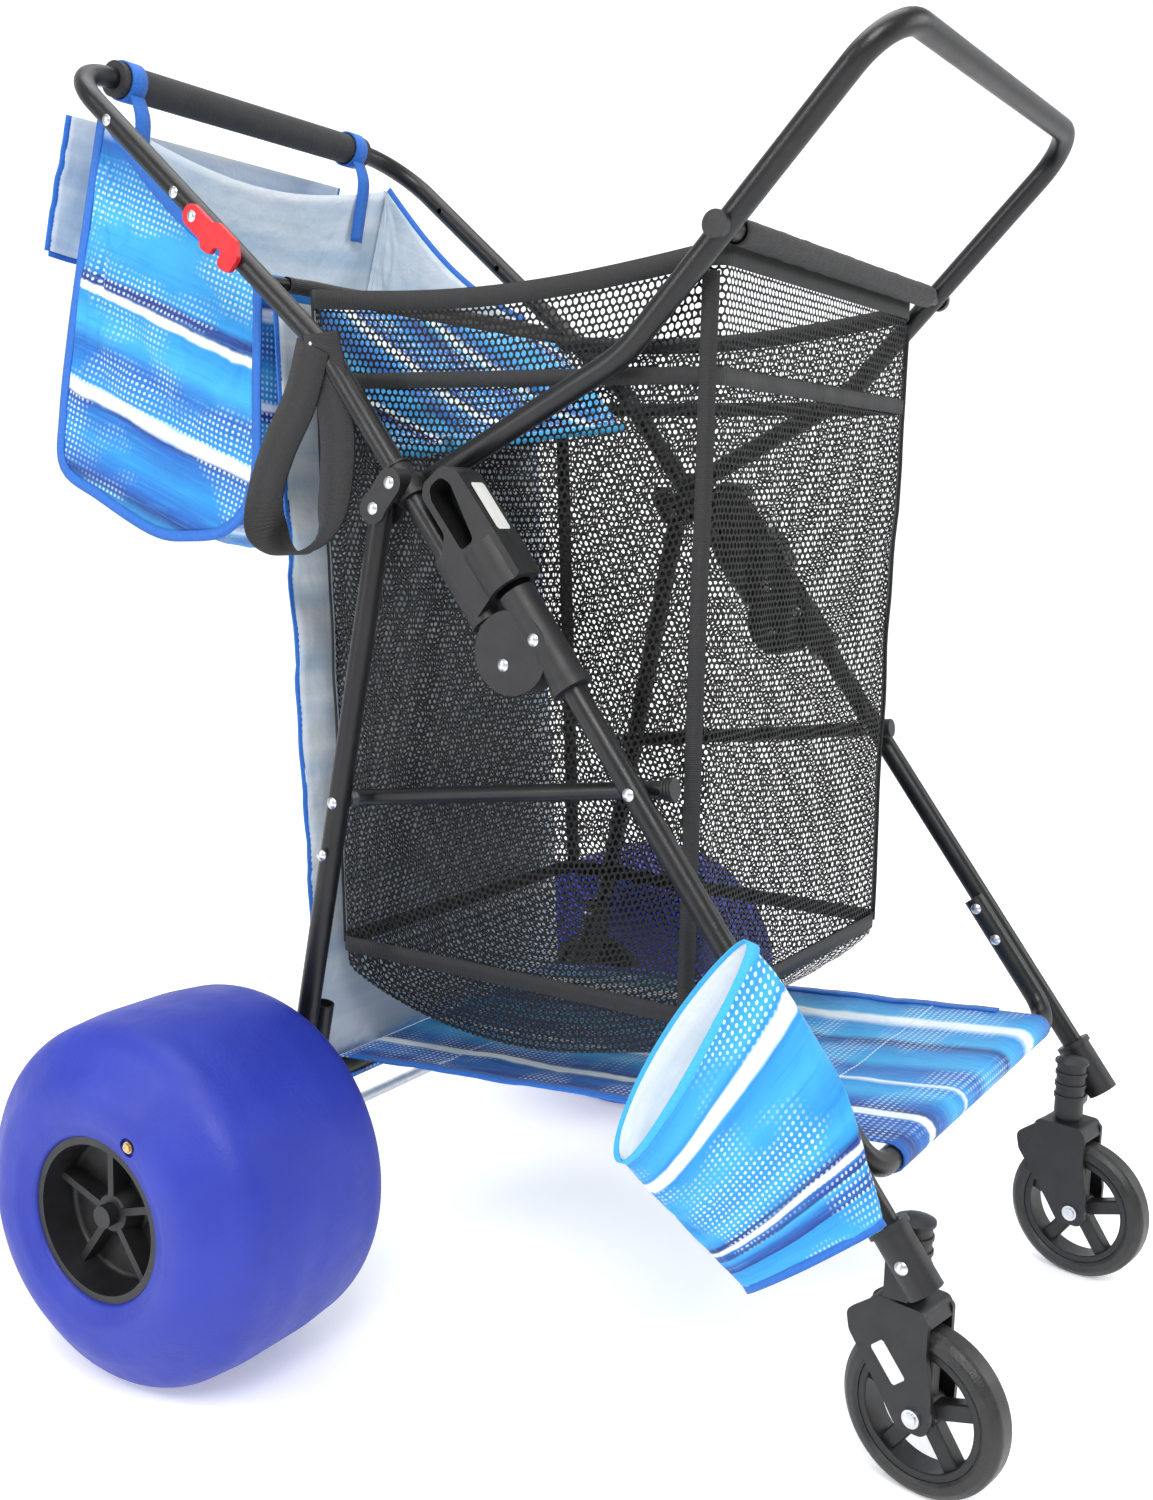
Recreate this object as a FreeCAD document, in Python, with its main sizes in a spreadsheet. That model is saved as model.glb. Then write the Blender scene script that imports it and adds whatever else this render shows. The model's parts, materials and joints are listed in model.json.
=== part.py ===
"""Folding beach cart: steel tube frame, mesh basket, cloth shelf, balloon rear wheels and swivel casters.

Row frame: X across the cart (the user's right hand, walking behind it, is -X), the casters lead
towards -Y, the handle is at +Y, Z is up and the floor is Z = 0. Lengths are millimetres.

Side-view positions are measured from the main fold pivot: "ahead" is towards -Y.
"""
import FreeCAD, Part
import math
import os

os.makedirs("parts", exist_ok=True)
doc = FreeCAD.newDocument("beach_cart")
Vector = FreeCAD.Vector
Rotation = FreeCAD.Rotation
Placement = FreeCAD.Placement

DIMENSIONS = {
    # main fold pivot
    "pivot_y": -78.8, "pivot_z": 581.2,
    # round tube of the frame
    "tube_diameter": 19.0, "tube_wall": 1.4, "fit_gap": 0.05,
    # handle frame: lower run, bend, upper run to the grip
    "handle_tilt": 51.7, "handle_bend": 12.2, "handle_lower": 311.0, "handle_upper": 403.0,
    "handle_half_width": 240.3, "handle_corner": 62.0, "handle_bend_radius": 90.0, "handle_tail": 12.0,
    "grip_diameter": 31.0, "grip_half_length": 177.0,
    # front legs, parallel to the handle's lower run and ahead of it
    "leg_tilt": 52.5, "leg_offset": 35.4, "leg_top": 40.0, "leg_bottom": 536.0,
    # rear legs, braces and their pivots
    "bracket_up": 168.2, "bracket_back": 25.5, "rear_leg_angle": 80.0, "rear_leg_length": 556.0,
    "rear_half_width": 248.3, "rear_leg_stub": 6.0,
    "brace_on_leg": 138.8, "brace_on_rear": 248.4, "brace_diameter": 14.0, "brace_half_width": 221.6,
    "brace_stub": 16.0,
    # upper frame that carries the front of the basket
    "top_pivot_up": 174.3, "top_angle": 28.0, "top_bend": 19.6, "top_lower": 208.8, "top_upper": 297.3,
    "top_half_width": 214.8, "top_corner": 44.0, "top_bend_radius": 110.0, "top_tail": 20.0,
    "basket_bar_up": 118.0, "basket_bar_diameter": 16.0,
    "rear_bar_y": 272.0, "rear_bar_z": 303.0, "rear_bar_diameter": 10.0,
    # cloth shelf and its two tubes
    "shelf_front_down": 463.0, "shelf_arm_top": 332.0, "shelf_arm_half": 221.2, "shelf_corner": 26.0,
    "shelf_rear_down": 514.0, "shelf_rear_arm": 438.0, "shelf_rear_half": 228.7, "shelf_rear_corner": 44.0,
    "cloth": 2.4, "cloth_half_width": 188.0,
    # casters
    "caster_x": 207.3, "caster_y": 339.0, "caster_trail": 18.0, "caster_radius": 64.6, "caster_yaw": -9.5,
    "caster_tyre_half": 14.5, "caster_hub_half": 14.5, "fork_inner": 16.0, "fork_plate": 4.0,
    "stem_radius": 6.0,
    # rear wheels
    "wheel_x": 372.1, "wheel_half_width": 106.4, "wheel_radius": 150.0, "wheel_wall": 7.0,
    "hub_radius": 66.0, "axle_radius": 5.0,
    # folding lock sleeve
    "sleeve_bottom": 38.8, "sleeve_top": 102.0, "sleeve_radius": 13.0,
    # rivets
    "rivet_radius": 3.0, "rivet_head": 5.0, "rivet_dome": 2.2,
}

sheet = doc.addObject("Spreadsheet::Sheet", "dims")
for row, (alias, value) in enumerate(DIMENSIONS.items(), start=1):
    sheet.set("A%d" % row, alias)
    sheet.set("B%d" % row, str(value))
    sheet.setAlias("B%d" % row, alias)
doc.recompute()

SIDES = (("right", -1.0), ("left", 1.0))
NODES = []
X_AXIS = Vector(1, 0, 0)
Z_AXIS = Vector(0, 0, 1)


def cell(alias):
    return float(sheet.get(alias))


# ---------------------------------------------------------------- side-view layout

def polar(start, degrees, distance):
    """A side-view point (y, z) at a distance from another; 0 degrees is +Y, 90 degrees is up."""
    angle = math.radians(degrees)
    return (start[0] + distance * math.cos(angle), start[1] + distance * math.sin(angle))


def at(x, side_point):
    """A point of the row frame from x and a side-view point."""
    return Vector(x, side_point[0], side_point[1])


PIVOT = (cell("pivot_y"), cell("pivot_z"))
HANDLE_LOW = cell("handle_tilt")
HANDLE_HIGH = HANDLE_LOW - cell("handle_bend")
LEG = cell("leg_tilt")
LEG_FOOT = polar(PIVOT, LEG + 90, cell("leg_offset"))
REAR = -cell("rear_leg_angle")
TOP_LOW = 180 - cell("top_angle")
TOP_HIGH = TOP_LOW - cell("top_bend")


def on_leg(distance):
    """Point of the front leg's axis, measured down from beside the pivot."""
    return polar(LEG_FOOT, LEG + 180, distance)


def on_handle(distance):
    """Point of the handle tube's axis, measured up from the pivot."""
    if distance <= cell("handle_lower"):
        return polar(PIVOT, HANDLE_LOW, distance)
    return polar(polar(PIVOT, HANDLE_LOW, cell("handle_lower")), HANDLE_HIGH, distance - cell("handle_lower"))


REAR_PIVOT = polar(polar(PIVOT, HANDLE_LOW, cell("bracket_up")), HANDLE_LOW - 90, cell("bracket_back"))
TOP_PIVOT = polar(PIVOT, HANDLE_LOW, cell("top_pivot_up"))


def on_rear(distance):
    """Point of the rear leg's axis, measured down from its pivot."""
    return polar(REAR_PIVOT, REAR, distance)


def on_top(distance):
    """Point of the upper frame's side tube, measured from its pivot."""
    if distance <= cell("top_lower"):
        return polar(TOP_PIVOT, TOP_LOW, distance)
    return polar(polar(TOP_PIVOT, TOP_LOW, cell("top_lower")), TOP_HIGH, distance - cell("top_lower"))


GRIP = on_handle(cell("handle_lower") + cell("handle_upper"))
BRACE_FRONT = on_leg(cell("brace_on_leg"))
BRACE_REAR = on_rear(cell("brace_on_rear"))
AXLE = on_rear(cell("rear_leg_length"))
SHELF_FRONT = on_leg(cell("shelf_front_down"))
SHELF_REAR = on_rear(cell("shelf_rear_down"))
BASKET_BAR = on_top(cell("top_lower") + cell("basket_bar_up"))
REAR_BAR = (PIVOT[0] + cell("rear_bar_y"), PIVOT[1] + cell("rear_bar_z"))


# ---------------------------------------------------------------- document helpers

def bind(obj, prop, value):
    """Set a property from a number, or tie it to the sheet with an expression."""
    if isinstance(value, str):
        obj.setExpression(prop, value)
    else:
        setattr(obj, prop, value)


def keep(obj, label):
    """Name a finished sub-part and list it for export."""
    obj.Label = label
    NODES.append(obj)
    return obj


def aim(start, direction):
    return Placement(start, Rotation(Z_AXIS, direction))


def cylinder(name, radius, start, end):
    obj = doc.addObject("Part::Cylinder", name)
    bind(obj, "Radius", radius)
    obj.Height = (end - start).Length
    obj.Placement = aim(start, end - start)
    return obj


def cross_pin(name, radius, side_point, x_from, x_to):
    """A cylinder along X at a side-view point."""
    return cylinder(name, radius, at(min(x_from, x_to), side_point), at(max(x_from, x_to), side_point))


def fuse(name, objects):
    if len(objects) == 1:
        return objects[0]
    obj = doc.addObject("Part::MultiFuse", name)
    obj.Shapes = objects
    return obj


def cut(name, base, tools):
    obj = doc.addObject("Part::Cut", name)
    obj.Base = base
    obj.Tool = fuse(name + "_tools", tools)
    return obj


def group(name, objects):
    obj = doc.addObject("Part::Compound", name)
    obj.Links = objects
    return obj


def straight_tube(label, start, end, radius, drills=()):
    """A round tube with holes drilled along X: each drill is (side point, x middle, radius)."""
    outer = cylinder(label + "_outer", radius, start, end)
    inner = cylinder(label + "_inner", radius + " - dims.tube_wall", start, end)
    return keep(cut(label, outer, [inner] + drill_pins(label, drills)), label)


def drill_pins(label, drills):
    reach = 16.0
    return [
        cross_pin("%s_drill_%d" % (label, i), radius, point, x - reach, x + reach)
        for i, (point, x, radius) in enumerate(drills)
    ]


def rivet(name, side_point, x_head, x_tail, both_heads=True, head="dims.rivet_head"):
    """A domed rivet along X, its head outside x_head and its shank running to x_tail."""
    out = 1.0 if x_head > x_tail else -1.0
    parts = [cross_pin(name + "_shank", "dims.rivet_radius", side_point, x_head, x_tail)]
    parts.append(dome(name + "_head", at(x_head, side_point), out, head))
    if both_heads:
        parts.append(dome(name + "_foot", at(x_tail, side_point), -out, head))
    return fuse(name, parts)


def dome(name, base, out, head="dims.rivet_head"):
    """A shallow spherical cap of the head's radius, standing on a point and facing +X or -X."""
    radius = cell(head.split(".")[1])
    rise = cell("rivet_dome")
    ball = (radius ** 2 + rise ** 2) / (2 * rise)
    obj = doc.addObject("Part::Sphere", name)
    obj.setExpression("Radius", "({0} ^ 2 + dims.rivet_dome ^ 2) / (2 * dims.rivet_dome)".format(head))
    obj.Angle1 = math.degrees(math.asin((ball - rise) / ball))
    obj.Placement = aim(base - Vector(out * (ball - rise), 0, 0), Vector(out, 0, 0))
    return obj


def corner_points(before, corner, after, radius):
    """Start, middle and end of the arc that rounds a corner."""
    back = (before - corner).normalize()
    on = (after - corner).normalize()
    half = back.getAngle(on) / 2
    reach = radius / math.tan(half)
    middle = (back + on).normalize()
    return (corner + back * reach, corner + middle * (radius / math.sin(half) - radius), corner + on * reach)


def rounded_path(points, radii):
    """Straight runs joined by tangent arcs, one radius for each inner point."""
    edges = []
    last = points[0]
    for i in range(1, len(points) - 1):
        start, middle, end = corner_points(points[i - 1], points[i], points[i + 1], radii[i - 1])
        edges.append(Part.LineSegment(last, start).toShape())
        edges.append(Part.Arc(start, middle, end).toShape())
        last = end
    edges.append(Part.LineSegment(last, points[-1]).toShape())
    return Part.Wire(edges)


def pipe_solid(points, radii, radius):
    path = rounded_path(points, radii)
    circle = Part.Wire([Part.makeCircle(radius, points[0], points[1] - points[0])])
    return path.makePipeShell([circle], True, False)


def bent_tube(label, points, radii, drills=()):
    """A bent round tube, hollow, with holes drilled along X."""
    radius = cell("tube_diameter") / 2
    shape = pipe_solid(points, radii, radius).cut(pipe_solid(points, radii, radius - cell("tube_wall")))
    for point, x, drill_radius in drills:
        shape = shape.cut(Part.makeCylinder(drill_radius, 28, at(x - 14, point), X_AXIS))
    return code_node(label, shape)


def code_node(label, shape):
    obj = doc.addObject("Part::Feature", label)
    obj.Shape = shape
    return keep(obj, label)


# ---------------------------------------------------------------- sketch helpers

def origin_plane(body, role):
    return [f for f in body.Origin.OriginFeatures if f.Role == role][0]


def outline_geometry(points):
    """A closed outline of (x, y) or (x, y, corner radius) points as sketch lines and arcs."""
    corners = []
    count = len(points)
    for i, point in enumerate(points):
        here = Vector(point[0], point[1], 0)
        before = Vector(points[i - 1][0], points[i - 1][1], 0)
        after = Vector(points[(i + 1) % count][0], points[(i + 1) % count][1], 0)
        if len(point) == 3:
            corners.append(corner_points(before, here, after, point[2]))
        else:
            corners.append((here, None, here))
    geometry = []
    for i, (start, middle, end) in enumerate(corners):
        if middle is not None:
            geometry.append(Part.Arc(start, middle, end))
        following = corners[(i + 1) % count][0]
        if (following - end).Length > 1e-6:
            geometry.append(Part.LineSegment(end, following))
    return geometry


def add_sketch(body, name, role, geometry, offset=0.0):
    sketch = body.newObject("Sketcher::SketchObject", name)
    sketch.AttachmentSupport = (origin_plane(body, role), [""])
    sketch.MapMode = "FlatFace"
    sketch.AttachmentOffset = Placement(Vector(0, 0, offset), Rotation())
    sketch.addGeometry(geometry, False)
    return sketch


def circle_at(x, y, radius):
    return [Part.Circle(Vector(x, y, 0), Z_AXIS, radius)]


def pad(body, name, role, geometry, length, offset=0.0):
    feature = body.newObject("PartDesign::Pad", name)
    feature.Profile = add_sketch(body, name + "_sketch", role, geometry, offset)
    bind(feature, "Length", length)
    return feature


def pocket(body, name, role, geometry, length, offset=0.0, reverse=True):
    """A pocket; reversed, it cuts towards the plane's positive side."""
    feature = body.newObject("PartDesign::Pocket", name)
    feature.Profile = add_sketch(body, name + "_sketch", role, geometry, offset)
    feature.Length = length
    feature.Reversed = reverse
    return feature


def revolve(body, name, geometry):
    """A full turn about the body's X axis of a profile drawn in its XZ plane."""
    feature = body.newObject("PartDesign::Revolution", name)
    sketch = add_sketch(body, name + "_sketch", "XZ_Plane", geometry)
    feature.Profile = sketch
    feature.ReferenceAxis = (sketch, ["H_Axis"])
    feature.Angle = 360.0
    return feature


def spin(body, name, features, count):
    """Repeat features about the body's X axis."""
    pattern = body.newObject("PartDesign::PolarPattern", name)
    pattern.Originals = features
    pattern.Axis = (origin_plane(body, "X_Axis"), [""])
    pattern.Angle = 360
    pattern.Occurrences = count
    body.Tip = pattern
    return pattern


def new_body(label):
    body = doc.addObject("PartDesign::Body", label)
    return keep(body, label)


def side_frame(x, side_point, tilt):
    """Local X along the tilt in the side view, local Y to its front upper side, local Z is row +X."""
    turn = Rotation(X_AXIS, tilt).multiply(Rotation(Vector(1, 1, 1), 120))
    return Placement(at(x, side_point), turn)


# ---------------------------------------------------------------- front frame

def make_front_legs():
    half = cell("handle_half_width")
    hole = cell("rivet_radius") + cell("fit_gap")
    for name, side in SIDES:
        x = side * half
        drills = [(on_leg(0), x, hole), (BRACE_FRONT, x, hole)]
        drills += [(on_leg(down), x, hole) for down in SHELF_RIVETS]
        drills += [(on_leg(CASTER_BOLT_DOWN), x, hole)]
        top = at(x, on_leg(-cell("leg_top")))
        straight_tube("front_leg_" + name, top, at(x, on_leg(cell("leg_bottom"))),
                      "dims.tube_diameter / 2", drills)


SHELF_RIVETS = (342.0, 376.0)
CASTER_BOLT_DOWN = 524.0


def make_hinge_housings():
    """Two cheek plates about the handle's pivot and a barrel around the front leg's top."""
    plate_radius = 33.0
    plate_in = 9.8
    plate = 3.8
    barrel_radius = 15.0
    barrel_low = 46.0
    barrel_high = 42.5
    for name, side in SIDES:
        x = side * cell("handle_half_width")
        label = "hinge_housing_" + name
        centre = polar(polar(PIVOT, LEG, 4.0), LEG + 90, 11.0)
        solids = []
        for place in (plate_in, -plate_in - plate):
            solids.append(cross_pin("%s_cheek_%d" % (label, place), plate_radius, centre, x + place, x + place + plate))
        low = at(x, on_leg(barrel_low))
        high = at(x, on_leg(-barrel_high))
        solids.append(cylinder(label + "_barrel", barrel_radius, low, high))
        solids.append(cylinder(label + "_collar", barrel_radius + 1.8, low, at(x, on_leg(barrel_low - 7))))
        bore = cylinder(label + "_bore", "dims.tube_diameter / 2 + dims.fit_gap", at(x, on_leg(60)),
                        at(x, on_leg(-cell("leg_top") - 0.1)))
        slot = doc.addObject("Part::Box", label + "_slot")
        slot.Length = 90
        slot.Width = 60
        slot.Height = 2 * plate_in
        slot.Placement = side_frame(x - plate_in, PIVOT, LEG).multiply(
            Placement(Vector(-45, cell("leg_offset") - barrel_radius + 1.5 - 60, 0), Rotation()))
        tools = [bore, slot] + drill_pins(label, [(PIVOT, x, "dims.rivet_radius + dims.fit_gap"),
                                                  (on_leg(0), x, "dims.rivet_radius + dims.fit_gap")])
        keep(cut(label, fuse(label + "_body", solids), tools), label)


def make_hinge_rivets():
    """The two fold pivots and the two rivets that fix the housings to the legs."""
    reach = 13.7
    rivets = []
    for name, side in SIDES:
        x = side * cell("handle_half_width")
        rivets.append(rivet("hinge_pin_" + name, PIVOT, x + side * reach, x - side * reach))
        rivets.append(rivet("housing_rivet_" + name, on_leg(0), x + side * 15.0, x - side * 15.0))
    keep(group("hinge_rivets", rivets), "hinge_rivets")


def make_shelf_front_tube():
    """A U of tube riveted inside the front legs; its bar carries the front of the shelf."""
    x = cell("shelf_arm_half")
    hole = cell("rivet_radius") + cell("fit_gap")
    corner = cell("shelf_corner")
    points = [at(-x, on_leg(cell("shelf_arm_top"))), at(-x, SHELF_FRONT),
              at(x, SHELF_FRONT), at(x, on_leg(cell("shelf_arm_top")))]
    drills = [(on_leg(down), side * x, hole) for _, side in SIDES for down in SHELF_RIVETS]
    bent_tube("shelf_front_tube", points, [corner, corner], drills)


def make_front_leg_rivets():
    """Rivets through the front legs: shelf tube, brace pivots and caster clamps."""
    rivets = []
    for name, side in SIDES:
        x = side * cell("handle_half_width")
        outer = x + side * cell("tube_diameter") / 2
        shelf_inner = side * (cell("shelf_arm_half") - cell("tube_diameter") / 2)
        brace_inner = side * (cell("brace_half_width") - cell("brace_diameter") / 2 - 0.3)
        for down in SHELF_RIVETS:
            rivets.append(rivet("shelf_rivet_%s_%d" % (name, down), on_leg(down), outer, shelf_inner))
        rivets.append(rivet("brace_pin_" + name, BRACE_FRONT, outer, brace_inner))
        rivets.append(rivet("caster_bolt_" + name, on_leg(CASTER_BOLT_DOWN), x + side * 14.1, x - side * 9.0,
                            both_heads=False))
    keep(group("front_leg_rivets", rivets), "front_leg_rivets")


# ---------------------------------------------------------------- casters

CASTER_Y = PIVOT[0] - cell("caster_y")
BARREL_LOW = 149.5
BARREL_HIGH = 201.0


def make_caster_housings():
    """A clamp around the leg's end joined to an upright barrel that holds the swivel stem."""
    clamp_radius = 14.0
    barrel_radius = 13.2
    for name, side in SIDES:
        label = "caster_housing_" + name
        leg_x = side * cell("handle_half_width")
        stem_x = side * cell("caster_x")
        top = at(leg_x, on_leg(495))
        low = at(leg_x, on_leg(548))
        solids = [cylinder(label + "_clamp", clamp_radius, top, low),
                  cylinder(label + "_ring", clamp_radius + 2.2, top, at(leg_x, on_leg(500))),
                  cylinder(label + "_barrel", barrel_radius, Vector(stem_x, CASTER_Y, BARREL_LOW),
                           Vector(stem_x, CASTER_Y, BARREL_HIGH))]
        for i in range(3):
            height = BARREL_HIGH - 11.0 - 11.0 * i
            solids.append(cylinder("%s_band_%d" % (label, i), barrel_radius + 1.2,
                                   Vector(stem_x, CASTER_Y, height), Vector(stem_x, CASTER_Y, height + 3.0)))
        solids.append(make_caster_web(label, stem_x, leg_x))
        bore_leg = cylinder(label + "_leg_bore", "dims.tube_diameter / 2 + dims.fit_gap", at(leg_x, on_leg(480)),
                            at(leg_x, on_leg(cell("leg_bottom") + 0.5)))
        bore_stem = cylinder(label + "_stem_bore", "dims.stem_radius + dims.fit_gap",
                             Vector(stem_x, CASTER_Y, BARREL_LOW - 5), Vector(stem_x, CASTER_Y, BARREL_HIGH - 4))
        bolt_hole = cross_pin(label + "_bolt_hole", "dims.rivet_radius + dims.fit_gap", on_leg(CASTER_BOLT_DOWN),
                              leg_x - 16, leg_x + 16)
        keep(cut(label, fuse(label + "_body", solids), [bore_leg, bore_stem, bolt_hole]), label)


def make_caster_web(label, stem_x, leg_x):
    """The gusset between the upright barrel and the slanting clamp."""
    box = doc.addObject("Part::Box", label + "_web")
    box.Length = abs(leg_x - stem_x)
    box.Width = 18.0
    box.Height = 38.0
    box.Placement = Placement(Vector(min(stem_x, leg_x), CASTER_Y - 9.0, BARREL_LOW + 6.0), Rotation())
    return box


def make_caster_caps():
    caps = []
    for name, side in SIDES:
        base = Vector(side * cell("caster_x"), CASTER_Y, BARREL_HIGH + 0.05)
        skirt = cylinder("caster_cap_skirt_" + name, 15.4, base, base + Vector(0, 0, 2.2))
        crown = doc.addObject("Part::Sphere", "caster_cap_crown_" + name)
        ball = (15.4 ** 2 + 4.0 ** 2) / 8.0
        crown.Radius = ball
        crown.Angle1 = math.degrees(math.asin((ball - 4.0) / ball))
        crown.Placement = Placement(base + Vector(0, 0, 2.2 - ball + 4.0), Rotation())
        caps.append(fuse("caster_cap_" + name, [skirt, crown]))
    keep(group("caster_caps", caps), "caster_caps")


def caster_placement(side):
    return Placement(Vector(side * cell("caster_x"), CASTER_Y, 0), Rotation(Z_AXIS, cell("caster_yaw")))


def make_caster_forks():
    """Crown plate, two tapering legs with axle bosses and an upright stem, in swivel coordinates."""
    inner = cell("fork_inner")
    plate = cell("fork_plate")
    trail = cell("caster_trail")
    height = cell("caster_radius")
    leg = [(-26, 143, 5), (20, 143, 10), (41, 127, 8), (38, 112, 10), (8, 72, 20),
           (-trail + 13, height - 12, 9), (-trail - 13, height - 12, 9), (-trail - 14, height + 18, 20), (-26, 116, 12)]
    crown = [(-26, 133.5), (24, 133.5), (20, 146.5, 6), (-22, 146.5, 6)]
    for name, side in SIDES:
        body = new_body("caster_fork_" + name)
        pad(body, "crown_" + name, "YZ_Plane", outline_geometry(crown), 2 * (inner + plate), -(inner + plate))
        for i, place in enumerate((-(inner + plate), inner)):
            pad(body, "leg_%d_%s" % (i, name), "YZ_Plane", outline_geometry(leg), plate, place)
        pad(body, "neck_" + name, "XY_Plane", circle_at(0, 0, 11.0), 3.2, 146.0)
        pad(body, "stem_" + name, "XY_Plane", circle_at(0, 0, cell("stem_radius")), 46.0, 149.0)
        pocket(body, "axle_hole_" + name, "YZ_Plane", circle_at(-trail, height, 4.05), 60.0, -30.0)
        body.Placement = caster_placement(side)


def make_caster_axles():
    """Bolt through each fork and wheel, with a washer and domed head at both ends."""
    for name, side in SIDES:
        reach = cell("fork_inner") + cell("fork_plate")
        place = caster_placement(side)
        bottom = Vector(-reach - 0.5, -cell("caster_trail"), cell("caster_radius"))
        ends = [place.multVec(bottom), place.multVec(Vector(reach + 0.5, bottom.y, bottom.z))]
        parts = [cylinder("caster_axle_shank_" + name, 4.0, ends[0], ends[1])]
        for i, out in enumerate((-1.0, 1.0)):
            axis = place.Rotation.multVec(Vector(out, 0, 0))
            start = ends[i] - axis * 0.4
            parts.append(cylinder("caster_axle_head_%d_%s" % (i, name), 7.0, start, start + axis * 2.6))
            parts.append(cylinder("caster_axle_nut_%d_%s" % (i, name), 4.6, start, start + axis * 4.2))
        keep(fuse("caster_axle_" + name, parts), "caster_axle_" + name)


def make_caster_wheels():
    """Five-spoke rim with a hub, and a rounded tread around it."""
    radius = cell("caster_radius")
    half = cell("caster_tyre_half")
    hub = cell("caster_hub_half")
    for name, side in SIDES:
        rim = new_body("caster_rim_" + name)
        hub_profile = [(-hub, 4.06), (hub, 4.06), (hub, 11.0, 1.5), (9.0, 13.0), (-9.0, 13.0), (-hub, 11.0, 1.5)]
        band = [(-12.0, 44.0, 1.5), (12.0, 44.0, 1.5), (12.0, 50.0, 1.0), (-12.0, 50.0, 1.0)]
        revolve(rim, "rim_hub_" + name, outline_geometry(hub_profile))
        revolve(rim, "rim_band_" + name, outline_geometry(band))
        spoke = [(-7.0, -6.5, 2.0), (7.0, -6.5, 2.0), (7.0, 6.5, 2.0), (-7.0, 6.5, 2.0)]
        arm = pad(rim, "rim_spoke_" + name, "XY_Plane", outline_geometry(spoke), 34.0, 11.5)
        spin(rim, "rim_spokes_" + name, [arm], 5)
        rim.Placement = wheel_placement(side)
        tyre = new_body("caster_tyre_" + name)
        profile = [(-12.2, 50.05), (12.2, 50.05), (half, 53.0, 2.0), (13.0, radius - 5.5, 4.0), (8.0, radius, 6.0),
                   (-8.0, radius, 6.0), (-13.0, radius - 5.5, 4.0), (-half, 53.0, 2.0)]
        revolve(tyre, "tread_" + name, outline_geometry(profile))
        tyre.Placement = wheel_placement(side)


def wheel_placement(side):
    axle = Vector(0, -cell("caster_trail"), cell("caster_radius"))
    return caster_placement(side).multiply(Placement(axle, Rotation()))


# ---------------------------------------------------------------- handle frame

HANDLE_RIVETS = (318.0, 519.0, 623.0)
HOOK_RIVET = 484.0


def make_handle_tube():
    x = cell("handle_half_width")
    hole = cell("rivet_radius") + cell("fit_gap")
    tail = polar(PIVOT, HANDLE_LOW, -cell("handle_tail"))
    bend = on_handle(cell("handle_lower"))
    points = [at(-x, tail), at(-x, bend), at(-x, GRIP), at(x, GRIP), at(x, bend), at(x, tail)]
    bend_radius = cell("handle_bend_radius")
    corner = cell("handle_corner")
    drills = [(PIVOT, side * x, hole) for _, side in SIDES] + [(TOP_PIVOT, side * x, hole) for _, side in SIDES]
    drills += [(on_handle(up), side * x, hole) for _, side in SIDES for up in HANDLE_RIVETS]
    drills += [(on_handle(HOOK_RIVET), -x, hole)]
    bent_tube("handle_tube", points, [bend_radius, corner, corner, bend_radius], drills)


def make_grip():
    """Ribbed foam sleeve with a thicker band at each end."""
    length = cell("grip_half_length")
    outer = cylinder("grip_outer", "dims.grip_diameter / 2", at(-length, GRIP), at(length, GRIP))
    bands = [cross_pin("grip_band_%d" % i, "dims.grip_diameter / 2 + 0.8", GRIP, end, end + width)
             for i, (end, width) in enumerate(((-length, 6.0), (length, -6.0)))]
    bore = cylinder("grip_bore", "dims.tube_diameter / 2 + dims.fit_gap", at(-length - 5, GRIP), at(length + 5, GRIP))
    keep(cut("foam_grip", fuse("grip_body", [outer] + bands), [bore]), "foam_grip")


def make_brackets():
    """A collar around the handle tube with a clevis behind it for the rear leg."""
    collar_low = 158.5
    collar_high = 190.0
    ring = 2.4
    cheek = 3.0
    gap = 9.8
    rear_x = cell("rear_half_width")
    for name, side in SIDES:
        label = "bracket_" + name
        x = side * cell("handle_half_width")
        solids = [cylinder(label + "_collar", 12.3, at(x, on_handle(collar_low)), at(x, on_handle(collar_high)))]
        for i, start in enumerate((collar_low, collar_high - ring)):
            solids.append(cylinder("%s_ring_%d" % (label, i), 13.4, at(x, on_handle(start)),
                                   at(x, on_handle(start + ring))))
        for i, inner in enumerate((rear_x - gap - cheek, rear_x + gap)):
            solids.append(make_cheek("%s_cheek_%d" % (label, i), side, inner, cheek))
        solids.append(cross_pin(label + "_lug", 11.6, TOP_PIVOT, side * 244.0, side * (rear_x + gap + cheek)))
        solids.append(cross_pin(label + "_boss", 9.5, TOP_PIVOT, side * 224.8, side * 236.0))
        stop = polar(TOP_PIVOT, TOP_LOW + 180 + STOP_ANGLE, STOP_REACH)
        solids.append(cross_pin(label + "_stop", 3.0, stop, side * 212.0, side * 238.0))
        bore = cylinder(label + "_bore", "dims.tube_diameter / 2 + dims.fit_gap", at(x, on_handle(120)),
                        at(x, on_handle(240)))
        drills = [(TOP_PIVOT, x, "dims.rivet_radius + dims.fit_gap"),
                  (REAR_PIVOT, side * rear_x, "dims.rivet_radius + dims.fit_gap")]
        pins = [cross_pin("%s_drill_%d" % (label, i), radius, point, side * 200, side * 280)
                for i, (point, _, radius) in enumerate(drills)]
        keep(cut(label, fuse(label + "_body", solids), [bore] + pins), label)


STOP_ANGLE = 38.0
STOP_REACH = 20.8


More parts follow.
